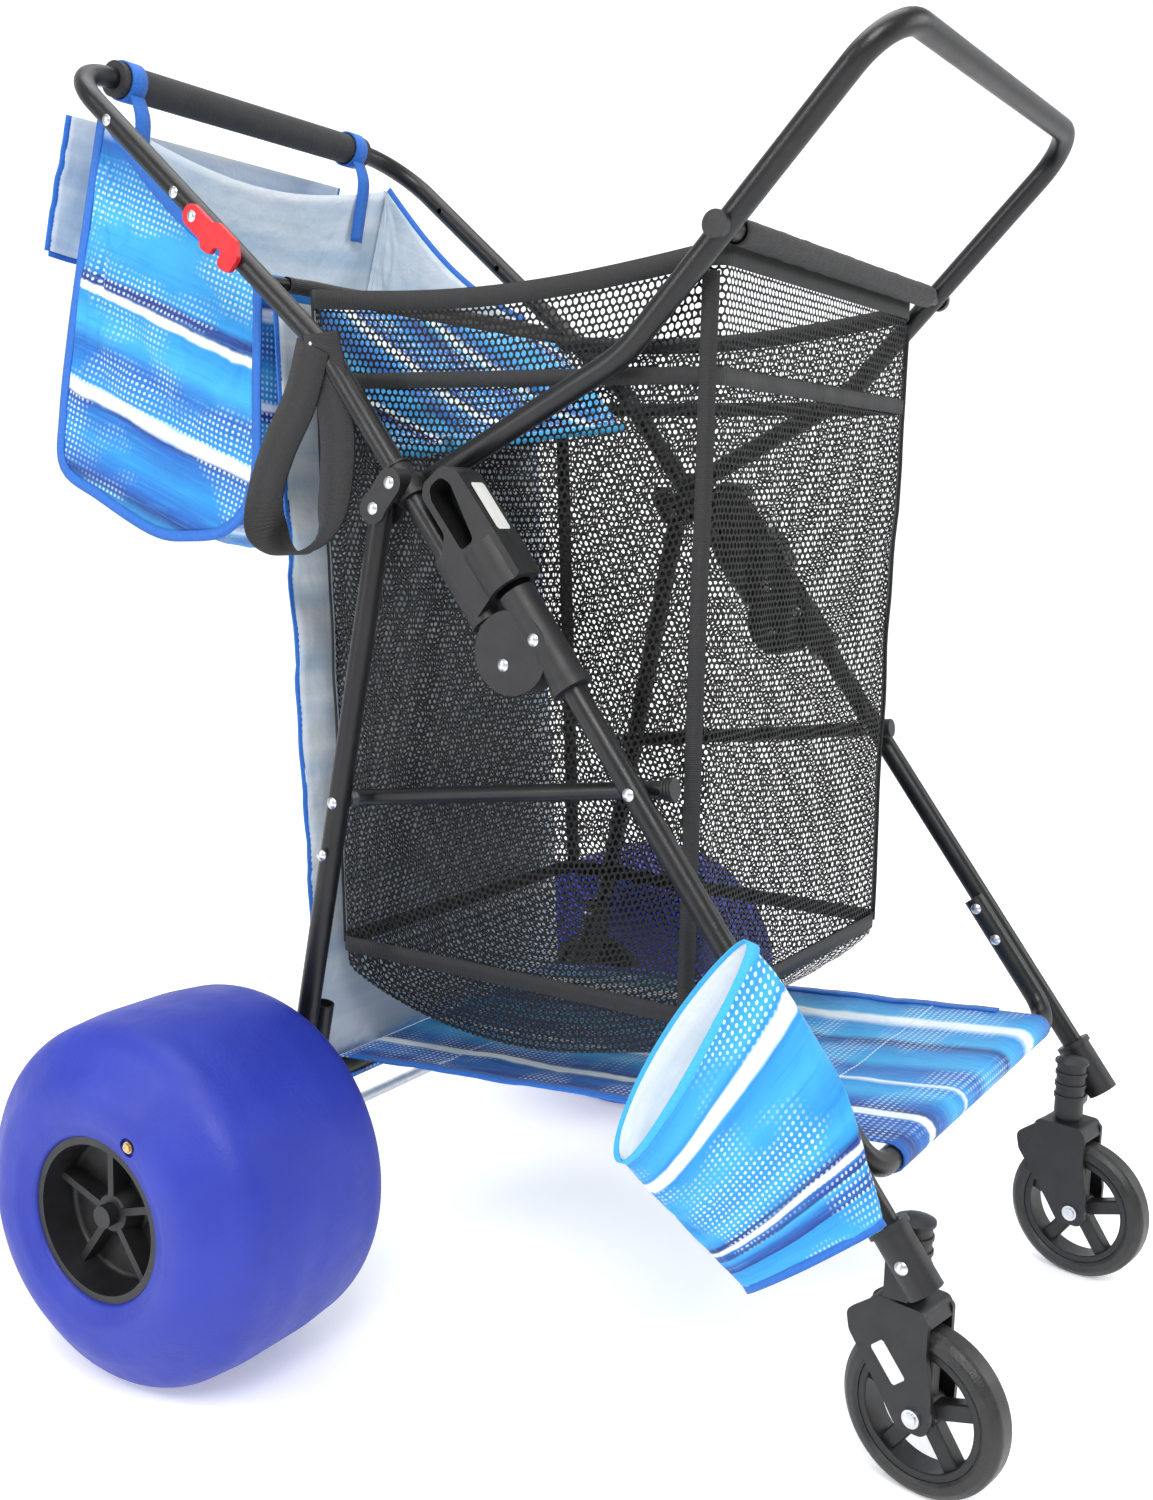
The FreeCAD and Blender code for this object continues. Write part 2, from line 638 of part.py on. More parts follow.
def make_cheek(name, side, inner, thickness):
    """A rounded plate that covers the handle rivet and the rear leg's pivot."""
    radius = 12.6
    along = math.degrees(math.atan2(REAR_PIVOT[1] - TOP_PIVOT[1], REAR_PIVOT[0] - TOP_PIVOT[0]))
    length = math.hypot(REAR_PIVOT[0] - TOP_PIVOT[0], REAR_PIVOT[1] - TOP_PIVOT[1])
    low = min(side * inner, side * (inner + thickness))
    ends = [cross_pin(name + "_a", radius - 1.0, TOP_PIVOT, low, low + thickness),
            cross_pin(name + "_b", radius, REAR_PIVOT, low, low + thickness)]
    web = doc.addObject("Part::Box", name + "_web")
    web.Length = length
    web.Width = 2 * radius - 2.0
    web.Height = thickness
    web.Placement = side_frame(low, TOP_PIVOT, along).multiply(
        Placement(Vector(0, 1.0 - radius, 0), Rotation()))
    return fuse(name, ends + [web])


def make_bracket_rivets():
    """Rear leg pivots and upper frame pivots, fixed in the brackets."""
    outer = cell("rear_half_width") + 12.8
    rivets = []
    for name, side in SIDES:
        rivets.append(rivet("top_pin_" + name, TOP_PIVOT, side * outer, side * 205.0))
        rivets.append(rivet("rear_pin_" + name, REAR_PIVOT, side * outer, side * (cell("rear_half_width") - 12.8)))
    keep(group("bracket_rivets", rivets), "bracket_rivets")


def make_handle_rivets():
    rivets = []
    for name, side in SIDES:
        outer = side * (cell("handle_half_width") + cell("tube_diameter") / 2)
        for up in HANDLE_RIVETS:
            rivets.append(rivet("handle_rivet_%s_%d" % (name, up), on_handle(up), outer, outer - side * 5.0,
                                both_heads=False))
    hook_face = -cell("handle_half_width") - cell("tube_diameter") / 2 - 6.0
    rivets.append(rivet("hook_pin", on_handle(HOOK_RIVET), hook_face, hook_face + 12.0, both_heads=False))
    keep(group("handle_rivets", rivets), "handle_rivets")


def make_rear_bar():
    """Thin bar for the basket's rear edge, its ends notched to sit against the handle tubes' inner faces."""
    x = cell("handle_half_width")
    end = x - 6.0
    bar = cross_pin("rear_bar_rod", "dims.rear_bar_diameter / 2", REAR_BAR, -end, end)
    low = cell("handle_lower") + 40.0
    high = cell("handle_lower") + 160.0
    notches = [cylinder("rear_bar_notch_" + name, "dims.tube_diameter / 2 + dims.fit_gap",
                        at(side * x, on_handle(low)), at(side * x, on_handle(high))) for name, side in SIDES]
    keep(cut("rear_bar", bar, notches), "basket_rear_bar")


def make_catch_hook():
    """Hook lever on the right handle tube; its notch takes the stud on the rear leg when folded."""
    thickness = 5.0
    body = new_body("catch_hook")
    outline = [(-10.5, -9.5, 9.0), (22.0, -9.5, 6.0), (28.0, -14.0, 4.0), (54.0, -14.0, 8.0), (64.0, -4.0, 7.0),
               (63.0, 12.0, 6.0), (46.0, 15.0, 5.0), (46.5, 3.0, 4.6), (36.5, 2.0, 4.6), (36.0, 13.0, 4.0),
               (22.0, 15.0, 6.0), (20.0, 9.5, 4.0), (-10.5, 9.5, 9.0)]
    pad(body, "hook_plate", "XY_Plane", outline_geometry(outline), thickness)
    pocket(body, "hook_hole", "XY_Plane", circle_at(0, 0, cell("rivet_radius") + cell("fit_gap")), 20.0, -10.0)
    x = -cell("handle_half_width") - cell("tube_diameter") / 2 - 0.6 - thickness
    body.Placement = side_frame(x, on_handle(HOOK_RIVET), HANDLE_HIGH + 180)


def make_bag_hooks():
    """Wire rings around the grip that carry the storage bag."""
    rings = []
    for name, side in SIDES:
        ring = doc.addObject("Part::Torus", "bag_ring_" + name)
        ring.Radius1 = 18.2
        ring.Radius2 = 1.3
        ring.Placement = aim(at(side * 160.0, GRIP), X_AXIS)
        rings.append(ring)
    keep(group("bag_rings", rings), "bag_rings")


# ---------------------------------------------------------------- rear frame

CATCH_STUD_DOWN = 294.0


def make_rear_legs():
    hole = cell("rivet_radius") + cell("fit_gap")
    for name, side in SIDES:
        x = side * cell("rear_half_width")
        drills = [(REAR_PIVOT, x, hole), (BRACE_REAR, x, hole), (on_rear(SHELF_REAR_RIVET), x, hole),
                  (AXLE, x, cell("axle_radius") + cell("fit_gap"))]
        if side < 0:
            drills.append((on_rear(CATCH_STUD_DOWN), x, hole))
        straight_tube("rear_leg_" + name, at(x, on_rear(-cell("rear_leg_stub"))),
                      at(x, on_rear(cell("rear_leg_length") + 12.0)), "dims.tube_diameter / 2", drills)


SHELF_REAR_RIVET = 450.0


def make_shelf_rear_tube():
    """A U of tube riveted inside the rear legs; the cloth turns up around its bar."""
    x = cell("shelf_rear_half")
    corner = cell("shelf_rear_corner")
    hole = cell("rivet_radius") + cell("fit_gap")
    points = [at(-x, on_rear(cell("shelf_rear_arm"))), at(-x, SHELF_REAR),
              at(x, SHELF_REAR), at(x, on_rear(cell("shelf_rear_arm")))]
    drills = [(on_rear(SHELF_REAR_RIVET), side * x, hole) for _, side in SIDES]
    bent_tube("shelf_rear_tube", points, [corner, corner], drills)


def make_rear_rivets():
    """Shelf tube rivets and the brace pivots' heads, all in the rear legs."""
    rivets = []
    for name, side in SIDES:
        outer = side * (cell("rear_half_width") + cell("tube_diameter") / 2)
        inner = side * (cell("shelf_rear_half") - cell("tube_diameter") / 2)
        rivets.append(rivet("shelf_rear_rivet_" + name, on_rear(SHELF_REAR_RIVET), outer, inner))
        leg_face = side * (cell("rear_half_width") - cell("tube_diameter") / 2)
        rivets.append(rivet("brace_rear_rivet_" + name, BRACE_REAR, outer, leg_face, both_heads=False))
    keep(group("rear_rivets", rivets), "rear_rivets")


def make_catch_stud():
    x = -cell("rear_half_width") - cell("tube_diameter") / 2
    point = on_rear(CATCH_STUD_DOWN)
    post = cross_pin("stud_post", "dims.rivet_radius", point, x - 4.0, x + 6.0)
    keep(fuse("catch_stud", [post, dome("stud_head", at(x - 4.0, point), -1.0)]), "catch_stud")


def make_axle():
    """Plain steel rod through both rear legs and both wheels, with push-on caps outside the hubs."""
    end = AXLE_END
    rod = cross_pin("axle_rod_bar", "dims.axle_radius", AXLE, -end, end)
    keep(rod, "axle_rod")
    caps = []
    for name, side in SIDES:
        cap = cross_pin("axle_cap_shell_" + name, 9.0, AXLE, side * (end - 6.0), side * (end + 3.0))
        bore = cross_pin("axle_cap_bore_" + name, "dims.axle_radius + 0.01", AXLE, side * (end - 8.0), side * end)
        caps.append(cut("axle_cap_" + name, cap, [bore]))
    keep(group("axle_caps", caps), "axle_caps")


AXLE_END = cell("wheel_x") + 88.5


def make_axle_spacers():
    """Washers between each rear leg and its wheel."""
    spacers = []
    for name, side in SIDES:
        face = cell("rear_half_width") + cell("tube_diameter") / 2
        ring = cross_pin("spacer_ring_" + name, 11.0, AXLE, side * (face + 0.1), side * (face + 4.0))
        bore = cross_pin("spacer_bore_" + name, "dims.axle_radius + dims.fit_gap", AXLE, side * face, side * (face + 5))
        spacers.append(cut("spacer_" + name, ring, [bore]))
    keep(group("axle_spacers", spacers), "axle_spacers")


# ---------------------------------------------------------------- rear wheels

def make_rear_wheels():
    for name, side in SIDES:
        make_balloon_tyre(name, side)
        make_wheel_hub(name, side)


def rear_wheel_placement(side):
    """Local +X points outboard on both sides."""
    turn = Rotation() if side > 0 else Rotation(Z_AXIS, 180)
    return Placement(at(side * cell("wheel_x"), AXLE), turn)


def make_balloon_tyre(name, side):
    """Blown tyre, open towards the hub: a wide crown, full shoulders and sides that roll in to the rim."""
    half = cell("wheel_half_width")
    radius = cell("wheel_radius")
    wall = cell("wheel_wall")
    hub = cell("hub_radius")
    body = new_body("balloon_tyre_" + name)
    outer = [(-half + 7, hub, 5.0), (-half, hub + 16, 14.0), (-half, 103, 40.0), (-74, radius - 4, 34.0),
             (-30, radius, 90.0), (30, radius, 90.0), (74, radius - 4, 34.0), (half, 103, 40.0),
             (half, hub + 16, 14.0), (half - 7, hub, 5.0)]
    inner = [(half - 7 - wall - 2, hub), (half - wall, hub + 18, 10.0), (half - wall, 101, 33.0),
             (72, radius - 4 - wall, 27.0), (30, radius - wall, 83.0), (-30, radius - wall, 83.0),
             (-72, radius - 4 - wall, 27.0), (-half + wall, 101, 33.0), (-half + wall, hub + 18, 10.0),
             (-half + 7 + wall + 2, hub)]
    revolve(body, "tyre_" + name, outline_geometry(outer + inner))
    across = side * (VALVE[0] - AXLE[0])
    up = VALVE[1] - AXLE[1]
    pocket(body, "valve_recess_" + name, "YZ_Plane", circle_at(across, up, 7.5), 20.0, half - VALVE_RECESS)
    body.Placement = rear_wheel_placement(side)


def make_wheel_hub(name, side):
    """Dished hub: flanged barrel, a web with raised ribs set back from its mouth, and a bored boss."""
    half = cell("wheel_half_width")
    hub = cell("hub_radius")
    bore = cell("axle_radius") + cell("fit_gap") + 0.01
    body = new_body("wheel_hub_" + name)
    mouth = half - 9.0
    profile = [(-mouth, hub - 6.0), (-mouth, hub - 0.05), (mouth, hub - 0.05), (mouth, hub - 6.0),
               (68.0, hub - 9.0, 4.0), (64.0, 20.0, 3.0), (82.0, 15.0, 2.0), (82.0, bore), (-mouth + 2, bore),
               (-mouth + 2, 14.0), (56.0, 14.0, 4.0), (58.0, hub - 12.0, 4.0)]
    revolve(body, "hub_shell_" + name, outline_geometry(profile))
    rib = [(63.0, -3.0), (82.0, -3.0), (82.0, 3.0), (63.0, 3.0)]
    arm = pad(body, "hub_rib_" + name, "XY_Plane", outline_geometry(rib), 45.0, 13.0)
    spin(body, "hub_ribs_" + name, [arm], 5)
    body.Placement = rear_wheel_placement(side)


def make_valves():
    """Brass inflation valve in the recess of each tyre's outer side."""
    for name, side in SIDES:
        face = cell("wheel_x") + cell("wheel_half_width")
        stem = cross_pin("valve_stem_" + name, 3.4, VALVE, side * (face - VALVE_RECESS + 0.1), side * (face + 1.0))
        collar = cross_pin("valve_collar_" + name, 4.6, VALVE, side * (face - 2.2), side * (face - 0.6))
        keep(fuse("valve_" + name, [stem, collar]), "valve_" + name)


VALVE = polar(AXLE, 122.0, cell("hub_radius") + 20.0)
VALVE_RECESS = 4.0


# ---------------------------------------------------------------- braces

def make_braces():
    """Flat-lying tubes inside the legs, from the front leg pivot back to the rear leg."""
    x_in = cell("brace_half_width")
    slope = math.degrees(math.atan2(BRACE_REAR[1] - BRACE_FRONT[1], BRACE_REAR[0] - BRACE_FRONT[0]))
    hole = cell("rivet_radius") + cell("fit_gap")
    caps = []
    for name, side in SIDES:
        x = side * x_in
        front = polar(BRACE_FRONT, slope, -cell("brace_stub"))
        rear = polar(BRACE_REAR, slope, 9.0)
        straight_tube("brace_" + name, at(x, front), at(x, rear), "dims.brace_diameter / 2",
                      [(BRACE_FRONT, x, hole), (BRACE_REAR, x, hole)])
        tip = at(x, polar(front, slope, -9.0))
        plug = at(x, polar(front, slope, -0.05))
        cap = cylinder("brace_cap_head_" + name, 8.6, tip, plug)
        neck = cylinder("brace_cap_neck_" + name, 5.5, plug, at(x, polar(front, slope, 8.0)))
        ribs = [cylinder("brace_cap_rib_%d_%s" % (i, name), 9.3, at(x, polar(front, slope, -8.0 + 2.6 * i)),
                         at(x, polar(front, slope, -6.9 + 2.6 * i))) for i in range(3)]
        caps.append(fuse("brace_cap_" + name, [cap, neck] + ribs))
    keep(group("brace_caps", caps), "brace_caps")


def make_brace_rear_rivets():
    """Inner half of the rear brace joint: a rivet in each brace that faces the rear leg across a small gap."""
    rivets = []
    for name, side in SIDES:
        inner = side * (cell("brace_half_width") - cell("brace_diameter") / 2)
        outer = side * (cell("rear_half_width") - cell("tube_diameter") / 2 - 1.0)
        spacer = cross_pin("brace_spacer_" + name, 6.5, BRACE_REAR,
                           side * (cell("brace_half_width") + cell("brace_diameter") / 2 + 0.05), outer)
        pin = rivet("brace_rivet_pin_" + name, BRACE_REAR, inner, outer, both_heads=False)
        rivets.append(fuse("brace_rivet_" + name, [pin, spacer]))
    keep(group("brace_rivets", rivets), "brace_rivets")


# ---------------------------------------------------------------- upper frame

def make_top_tube():
    x = cell("top_half_width")
    hole = cell("rivet_radius") + cell("fit_gap")
    tail = on_top(-cell("top_tail"))
    bend = on_top(cell("top_lower"))
    peak = on_top(cell("top_lower") + cell("top_upper"))
    points = [at(-x, tail), at(-x, bend), at(-x, peak), at(x, peak), at(x, bend), at(x, tail)]
    bend_radius = cell("top_bend_radius")
    corner = cell("top_corner")
    drills = [(TOP_PIVOT, side * x, hole) for _, side in SIDES]
    drills += [(BASKET_BAR, side * x, cell("basket_bar_diameter") / 2 + cell("fit_gap")) for _, side in SIDES]
    bent_tube("top_tube", points, [bend_radius, corner, corner, bend_radius], drills)


def make_top_end_caps():
    caps = []
    for name, side in SIDES:
        x = side * cell("top_half_width")
        tail = on_top(-cell("top_tail") - 0.05)
        head = cylinder("top_cap_head_" + name, 10.4, at(x, tail), at(x, on_top(-cell("top_tail") - 5.0)))
        neck = cylinder("top_cap_neck_" + name, 7.9, at(x, tail), at(x, on_top(-cell("top_tail") + 9.0)))
        caps.append(fuse("top_cap_" + name, [head, neck]))
    keep(group("top_end_caps", caps), "top_end_caps")


def make_basket_bar():
    """Bar across the upper frame that holds the basket's front edge, with a cap outside each tube."""
    end = cell("top_half_width") + 13.0
    bar = cross_pin("basket_bar_rod", "dims.basket_bar_diameter / 2", BASKET_BAR, -end, end)
    keep(bar, "basket_front_bar")
    caps = []
    for name, side in SIDES:
        cap = cross_pin("bar_cap_shell_" + name, 10.0, BASKET_BAR, side * (end - 3.0), side * (end + 3.0))
        bore = cross_pin("bar_cap_bore_" + name, "dims.basket_bar_diameter / 2 + 0.02", BASKET_BAR,
                         side * (end - 8.0), side * end)
        caps.append(cut("bar_cap_" + name, cap, [bore]))
    keep(group("basket_bar_caps", caps), "basket_bar_caps")


# ---------------------------------------------------------------- lock sleeves

def make_lock_sleeves():
    """Sliding lock on each handle tube: a barrel on the tube, a wide collar ahead of it over the leg's
    housing, and a scooped finger channel above the collar that opens outboard."""
    ahead = cell("leg_offset")
    low = cell("sleeve_bottom")
    high = cell("sleeve_top")
    radius = cell("sleeve_radius")
    half = 15.0
    for name, side in SIDES:
        body = new_body("lock_sleeve_" + name)
        pad(body, "sleeve_barrel_" + name, "YZ_Plane", circle_at(0, 0, radius), high - low, low)
        pad(body, "sleeve_collar_" + name, "YZ_Plane", circle_at(ahead, 0, 21.0), 40.0, 47.0)
        channel = [(low + 4, 4.0), (100.0, 4.0, 6.0), (112.0, 15.8, 8.0), (148.0, 15.8, 6.0), (156.0, 24.0, 7.0),
                   (156.0, 46.0, 8.0), (144.0, 55.0, 8.0), (70.0, 56.4, 6.0), (47.0, 56.0, 3.0), (47.0, 20.0, 3.0)]
        pad(body, "sleeve_channel_" + name, "XY_Plane", outline_geometry(channel), 2 * half, -half)
        pocket(body, "tube_bore_" + name, "YZ_Plane",
               circle_at(0, 0, cell("tube_diameter") / 2 + 0.25), 160.0, 10.0)
        pocket(body, "leg_bore_" + name, "YZ_Plane", circle_at(ahead, 0, 15.3), 32.0, 40.0)
        scoop = [(92.0, 22.0, 4.0), (140.0, 21.5, 8.0), (150.0, 26.0, 7.0), (150.0, 40.0, 7.0), (140.0, 44.0, 8.0),
                 (92.0, 36.0, 5.0)]
        place = 3.0 - half if side > 0 else half - 3.0
        pocket(body, "finger_scoop_" + name, "XY_Plane", outline_geometry(scoop), 2 * half, place, side > 0)
        body.Placement = side_frame(side * cell("handle_half_width"), PIVOT, HANDLE_LOW)


# ---------------------------------------------------------------- soft parts

def side_prism(outline, x_low, x_high):
    """A solid between two x values whose side view is a closed outline of (y, z) from the pivot."""
    points = [Vector(x_low, PIVOT[0] + y, z) for y, z in outline]
    face = Part.Face(Part.makePolygon(points + [points[0]]))
    return face.extrude(Vector(x_high - x_low, 0, 0))


def make_mesh_basket():
    """Open-topped net box hung between the two bars, with a sagging floor."""
    wall = 2.4
    half = 200.0
    outer = [(-145.0, 893.0), (-146.0, 300.0), (-95.0, 262.0), (30.0, 246.0), (150.0, 256.0), (214.0, 300.0),
             (254.0, 874.0)]
    inner = [(-145.0 + wall, 893.1), (-146.0 + wall, 301.2), (-94.0, 264.6), (30.0, 248.5), (149.0, 258.6),
             (214.0 - wall - 0.4, 301.2), (254.0 - wall, 874.1)]
    shape = side_prism(outer, -half, half).cut(side_prism(inner, wall - half, half - wall))
    return code_node("mesh_basket", shape)


def cloth_strip(start, end, half_width, thickness):
    """A flat strip of cloth from one side-view point to another."""
    along = math.atan2(end[1] - start[1], end[0] - start[0])
    out = (-math.sin(along) * thickness / 2, math.cos(along) * thickness / 2)
    corners = [(start[0] + out[0], start[1] + out[1]), (end[0] + out[0], end[1] + out[1]),
               (end[0] - out[0], end[1] - out[1]), (start[0] - out[0], start[1] - out[1])]
    points = [Vector(-half_width, y, z) for y, z in corners]
    face = Part.Face(Part.makePolygon(points + [points[0]]))
    return face.extrude(Vector(2 * half_width, 0, 0))


def make_shelf_cloth():
    """Shelf panel with a sewn sleeve around each of its two bars."""
    half = cell("cloth_half_width")
    thickness = cell("cloth")
    radius = cell("tube_diameter") / 2 + 0.3
    lift = radius + thickness / 2
    front = (SHELF_FRONT[0], SHELF_FRONT[1] + lift)
    rear = (SHELF_REAR[0], SHELF_REAR[1] + lift)
    shape = cloth_strip(front, rear, half, thickness)
    for bar in (SHELF_FRONT, SHELF_REAR):
        ring = Part.makeCylinder(radius + thickness, 2 * half, at(-half, bar), X_AXIS)
        shape = shape.fuse(ring)
    for bar in (SHELF_FRONT, SHELF_REAR):
        shape = shape.cut(Part.makeCylinder(radius, 2 * half + 20, at(-half - 10, bar), X_AXIS))
    return code_node("shelf_cloth", shape)


def make_rear_panel():
    """Cloth back panel from the shelf's rear bar up to the basket's rear bar."""
    low = (SHELF_REAR[0] + 14.0, SHELF_REAR[1] + 6.0)
    high = (REAR_BAR[0] + 11.0, REAR_BAR[1] - 12.0)
    return code_node("rear_panel", cloth_strip(low, high, 200.0, cell("cloth")))


def make_storage_bag():
    """Open tote hung in the handle frame behind the basket."""
    wall = 2.4
    half = 206.0
    outer = [(296.0, 898.0), (300.0, 700.0), (333.0, 668.0), (421.0, 664.0), (560.0, 724.0), (486.0, 1048.0)]
    inner = [(296.0 + wall, 900.0), (300.0 + wall, 701.0), (334.2, 670.4), (420.6, 666.5), (557.4, 725.6),
             (486.0 - wall, 1047.0), (470.0, 1060.0)]
    shape = side_prism(outer, -half, half).cut(side_prism(inner, wall - half, half - wall))
    return code_node("storage_bag", shape)


def make_bag_flaps():
    """The bag's loose rear flap behind the grip, and its front flap turned down inside the basket."""
    rear = cloth_strip((PIVOT[0] + 542.0, 1052.0), (PIVOT[0] + 578.0, 916.0), 192.0, 2.4)
    code_node("bag_rear_flap", rear)
    front = cloth_strip((PIVOT[0] + 243.0, 868.0), (PIVOT[0] + 156.0, 748.0), 190.0, 2.4)
    code_node("bag_front_flap", front)


def make_carry_strap():
    """Webbing loop that hangs from the right handle tube."""
    outline = [(186.0, 800.0), (212.0, 806.0), (232.0, 760.0), (282.0, 664.0), (262.0, 646.0), (196.0, 664.0),
               (180.0, 672.0)]
    hole = [(206.0, 776.0), (216.0, 756.0), (256.0, 676.0), (207.0, 684.0)]
    shape = side_prism(outline, -241.0, -239.0).cut(side_prism(hole, -245.0, -235.0))
    return code_node("carry_strap", shape)


def make_drink_pouch():
    """Tapered oval cloth cup beside the right front leg, with a slanted open mouth and a closed floor."""
    outer = oval_taper((270.0, 64.0, 110.0, 31.0, -285.0), (493.0, 46.0, 62.0, 16.0, -273.5))
    inner = oval_taper((269.0, 64.0, 107.6, 28.6, -285.0), (489.5, 46.2, 60.0, 13.9, -273.7))
    shape = outer.cut(inner)
    front = (286.0, -36.0)
    rear = (366.0, 154.0)
    reach = (rear[0] - front[0], rear[1] - front[1])
    above = [(front[0] - reach[0], front[1] - reach[1]), (rear[0] + reach[0], rear[1] + reach[1]),
             (100.0, rear[1] + reach[1]), (100.0, front[1] - reach[1])]
    corners = [at(-340.0, behind_leg(down, behind)) for down, behind in above]
    cover = Part.Face(Part.makePolygon(corners + [corners[0]])).extrude(Vector(110, 0, 0))
    return code_node("drink_pouch", shape.cut(cover))


def behind_leg(down, behind):
    """A side-view point measured down the front leg's axis and behind it."""
    return polar(on_leg(down), LEG - 90, behind)


def oval_taper(top, bottom):
    """A tapering oval solid along the front leg; each end is (down, behind, long half, short half, x)."""
    wires = []
    for down, behind, long_half, short_half, x in (top, bottom):
        centre = at(x, behind_leg(down, behind))
        long_end = at(x, behind_leg(down, behind + long_half))
        ellipse = Part.Ellipse(long_end, centre + X_AXIS * short_half, centre)
        wires.append(Part.Wire([ellipse.toShape()]))
    return Part.makeLoft(wires, True, True)


# ---------------------------------------------------------------- build and export

def build():
    make_front_legs()
    make_hinge_housings()
    make_hinge_rivets()
    make_shelf_front_tube()
    make_front_leg_rivets()
    make_caster_housings()
    make_caster_caps()
    make_caster_forks()
    make_caster_axles()
    make_caster_wheels()
    make_handle_tube()
    make_grip()
    make_brackets()
    make_bracket_rivets()
    make_handle_rivets()
    make_rear_bar()
    make_catch_hook()
    make_bag_hooks()
    make_rear_legs()
    make_shelf_rear_tube()
    make_rear_rivets()
    make_catch_stud()
    make_axle()
    make_axle_spacers()
    make_rear_wheels()
    make_valves()
    make_braces()
    make_brace_rear_rivets()
    make_top_tube()
    make_top_end_caps()
    make_basket_bar()
    make_lock_sleeves()
    make_mesh_basket()
    make_shelf_cloth()
    make_rear_panel()
    make_storage_bag()
    make_bag_flaps()
    make_carry_strap()
    make_drink_pouch()


def check_document():
    """Stop on any failed object or empty, invalid or open sub-part."""
    failed = [obj.Label for obj in doc.Objects if "Invalid" in obj.State or "Error" in obj.State]
    bad = [obj.Label for obj in NODES
           if obj.Shape.isNull() or not obj.Shape.isValid() or not obj.Shape.Solids or obj.Shape.Volume <= 0]
    if failed or bad:
        raise RuntimeError("failed objects %s, bad sub-parts %s" % (failed, bad))


def export_nodes():
    for obj in NODES:
        obj.Shape.exportStep("parts/%s.step" % obj.Label)


def print_box():
    box = FreeCAD.BoundBox()
    for obj in NODES:
        box.add(obj.Shape.BoundBox)
    print("nodes", len(NODES))
    print("box x %.2f %.2f y %.2f %.2f z %.2f %.2f" % (box.XMin, box.XMax, box.YMin, box.YMax, box.ZMin, box.ZMax))


build()
doc.recompute()
check_document()
export_nodes()
print_box()
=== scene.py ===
"""Studio scene of the folding beach cart: net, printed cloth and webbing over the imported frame."""
import json
import math

import bmesh
import bpy
from mathutils import Matrix, Vector, noise


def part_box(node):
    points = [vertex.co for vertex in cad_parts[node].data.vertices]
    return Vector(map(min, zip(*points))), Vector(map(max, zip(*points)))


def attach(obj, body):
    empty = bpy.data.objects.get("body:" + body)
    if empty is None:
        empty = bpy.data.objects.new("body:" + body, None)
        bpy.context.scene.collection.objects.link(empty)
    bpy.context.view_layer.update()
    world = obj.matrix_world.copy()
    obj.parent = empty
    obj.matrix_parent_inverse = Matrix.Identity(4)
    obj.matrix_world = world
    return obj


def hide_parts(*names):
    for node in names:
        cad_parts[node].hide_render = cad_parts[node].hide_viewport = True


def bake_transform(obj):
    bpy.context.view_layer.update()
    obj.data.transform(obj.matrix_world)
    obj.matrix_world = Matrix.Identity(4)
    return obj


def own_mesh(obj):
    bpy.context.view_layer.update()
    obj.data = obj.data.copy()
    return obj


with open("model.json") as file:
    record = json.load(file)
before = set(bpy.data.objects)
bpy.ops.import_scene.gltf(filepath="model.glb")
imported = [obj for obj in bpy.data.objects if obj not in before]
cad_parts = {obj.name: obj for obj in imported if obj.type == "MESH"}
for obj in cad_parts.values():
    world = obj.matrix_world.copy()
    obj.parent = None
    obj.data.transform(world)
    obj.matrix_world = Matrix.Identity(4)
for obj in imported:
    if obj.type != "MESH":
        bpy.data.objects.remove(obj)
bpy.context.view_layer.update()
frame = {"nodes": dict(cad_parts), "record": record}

JOINTS = {joint["name"]: joint for joint in frame["record"]["behaviour"]["joints"]}
PIVOT = Vector(JOINTS["handle_fold"]["pos_m"])
SIDES = (("right", -1.0), ("left", 1.0))
HANDLE_TILT = math.radians(51.7)
# Sizes are in metres, and heights are from the floor.
CLOTH = 0.0012
PROUD = 0.0012
HANDLE_X = 0.2403
VIEW_AZIMUTH = math.radians(-58.17)


def spot(x, behind, height):
    """A point from x, how far it lies behind the main fold pivot, and its height."""
    return Vector((x, PIVOT.y + behind, height))


# ---------------------------------------------- shader node helpers

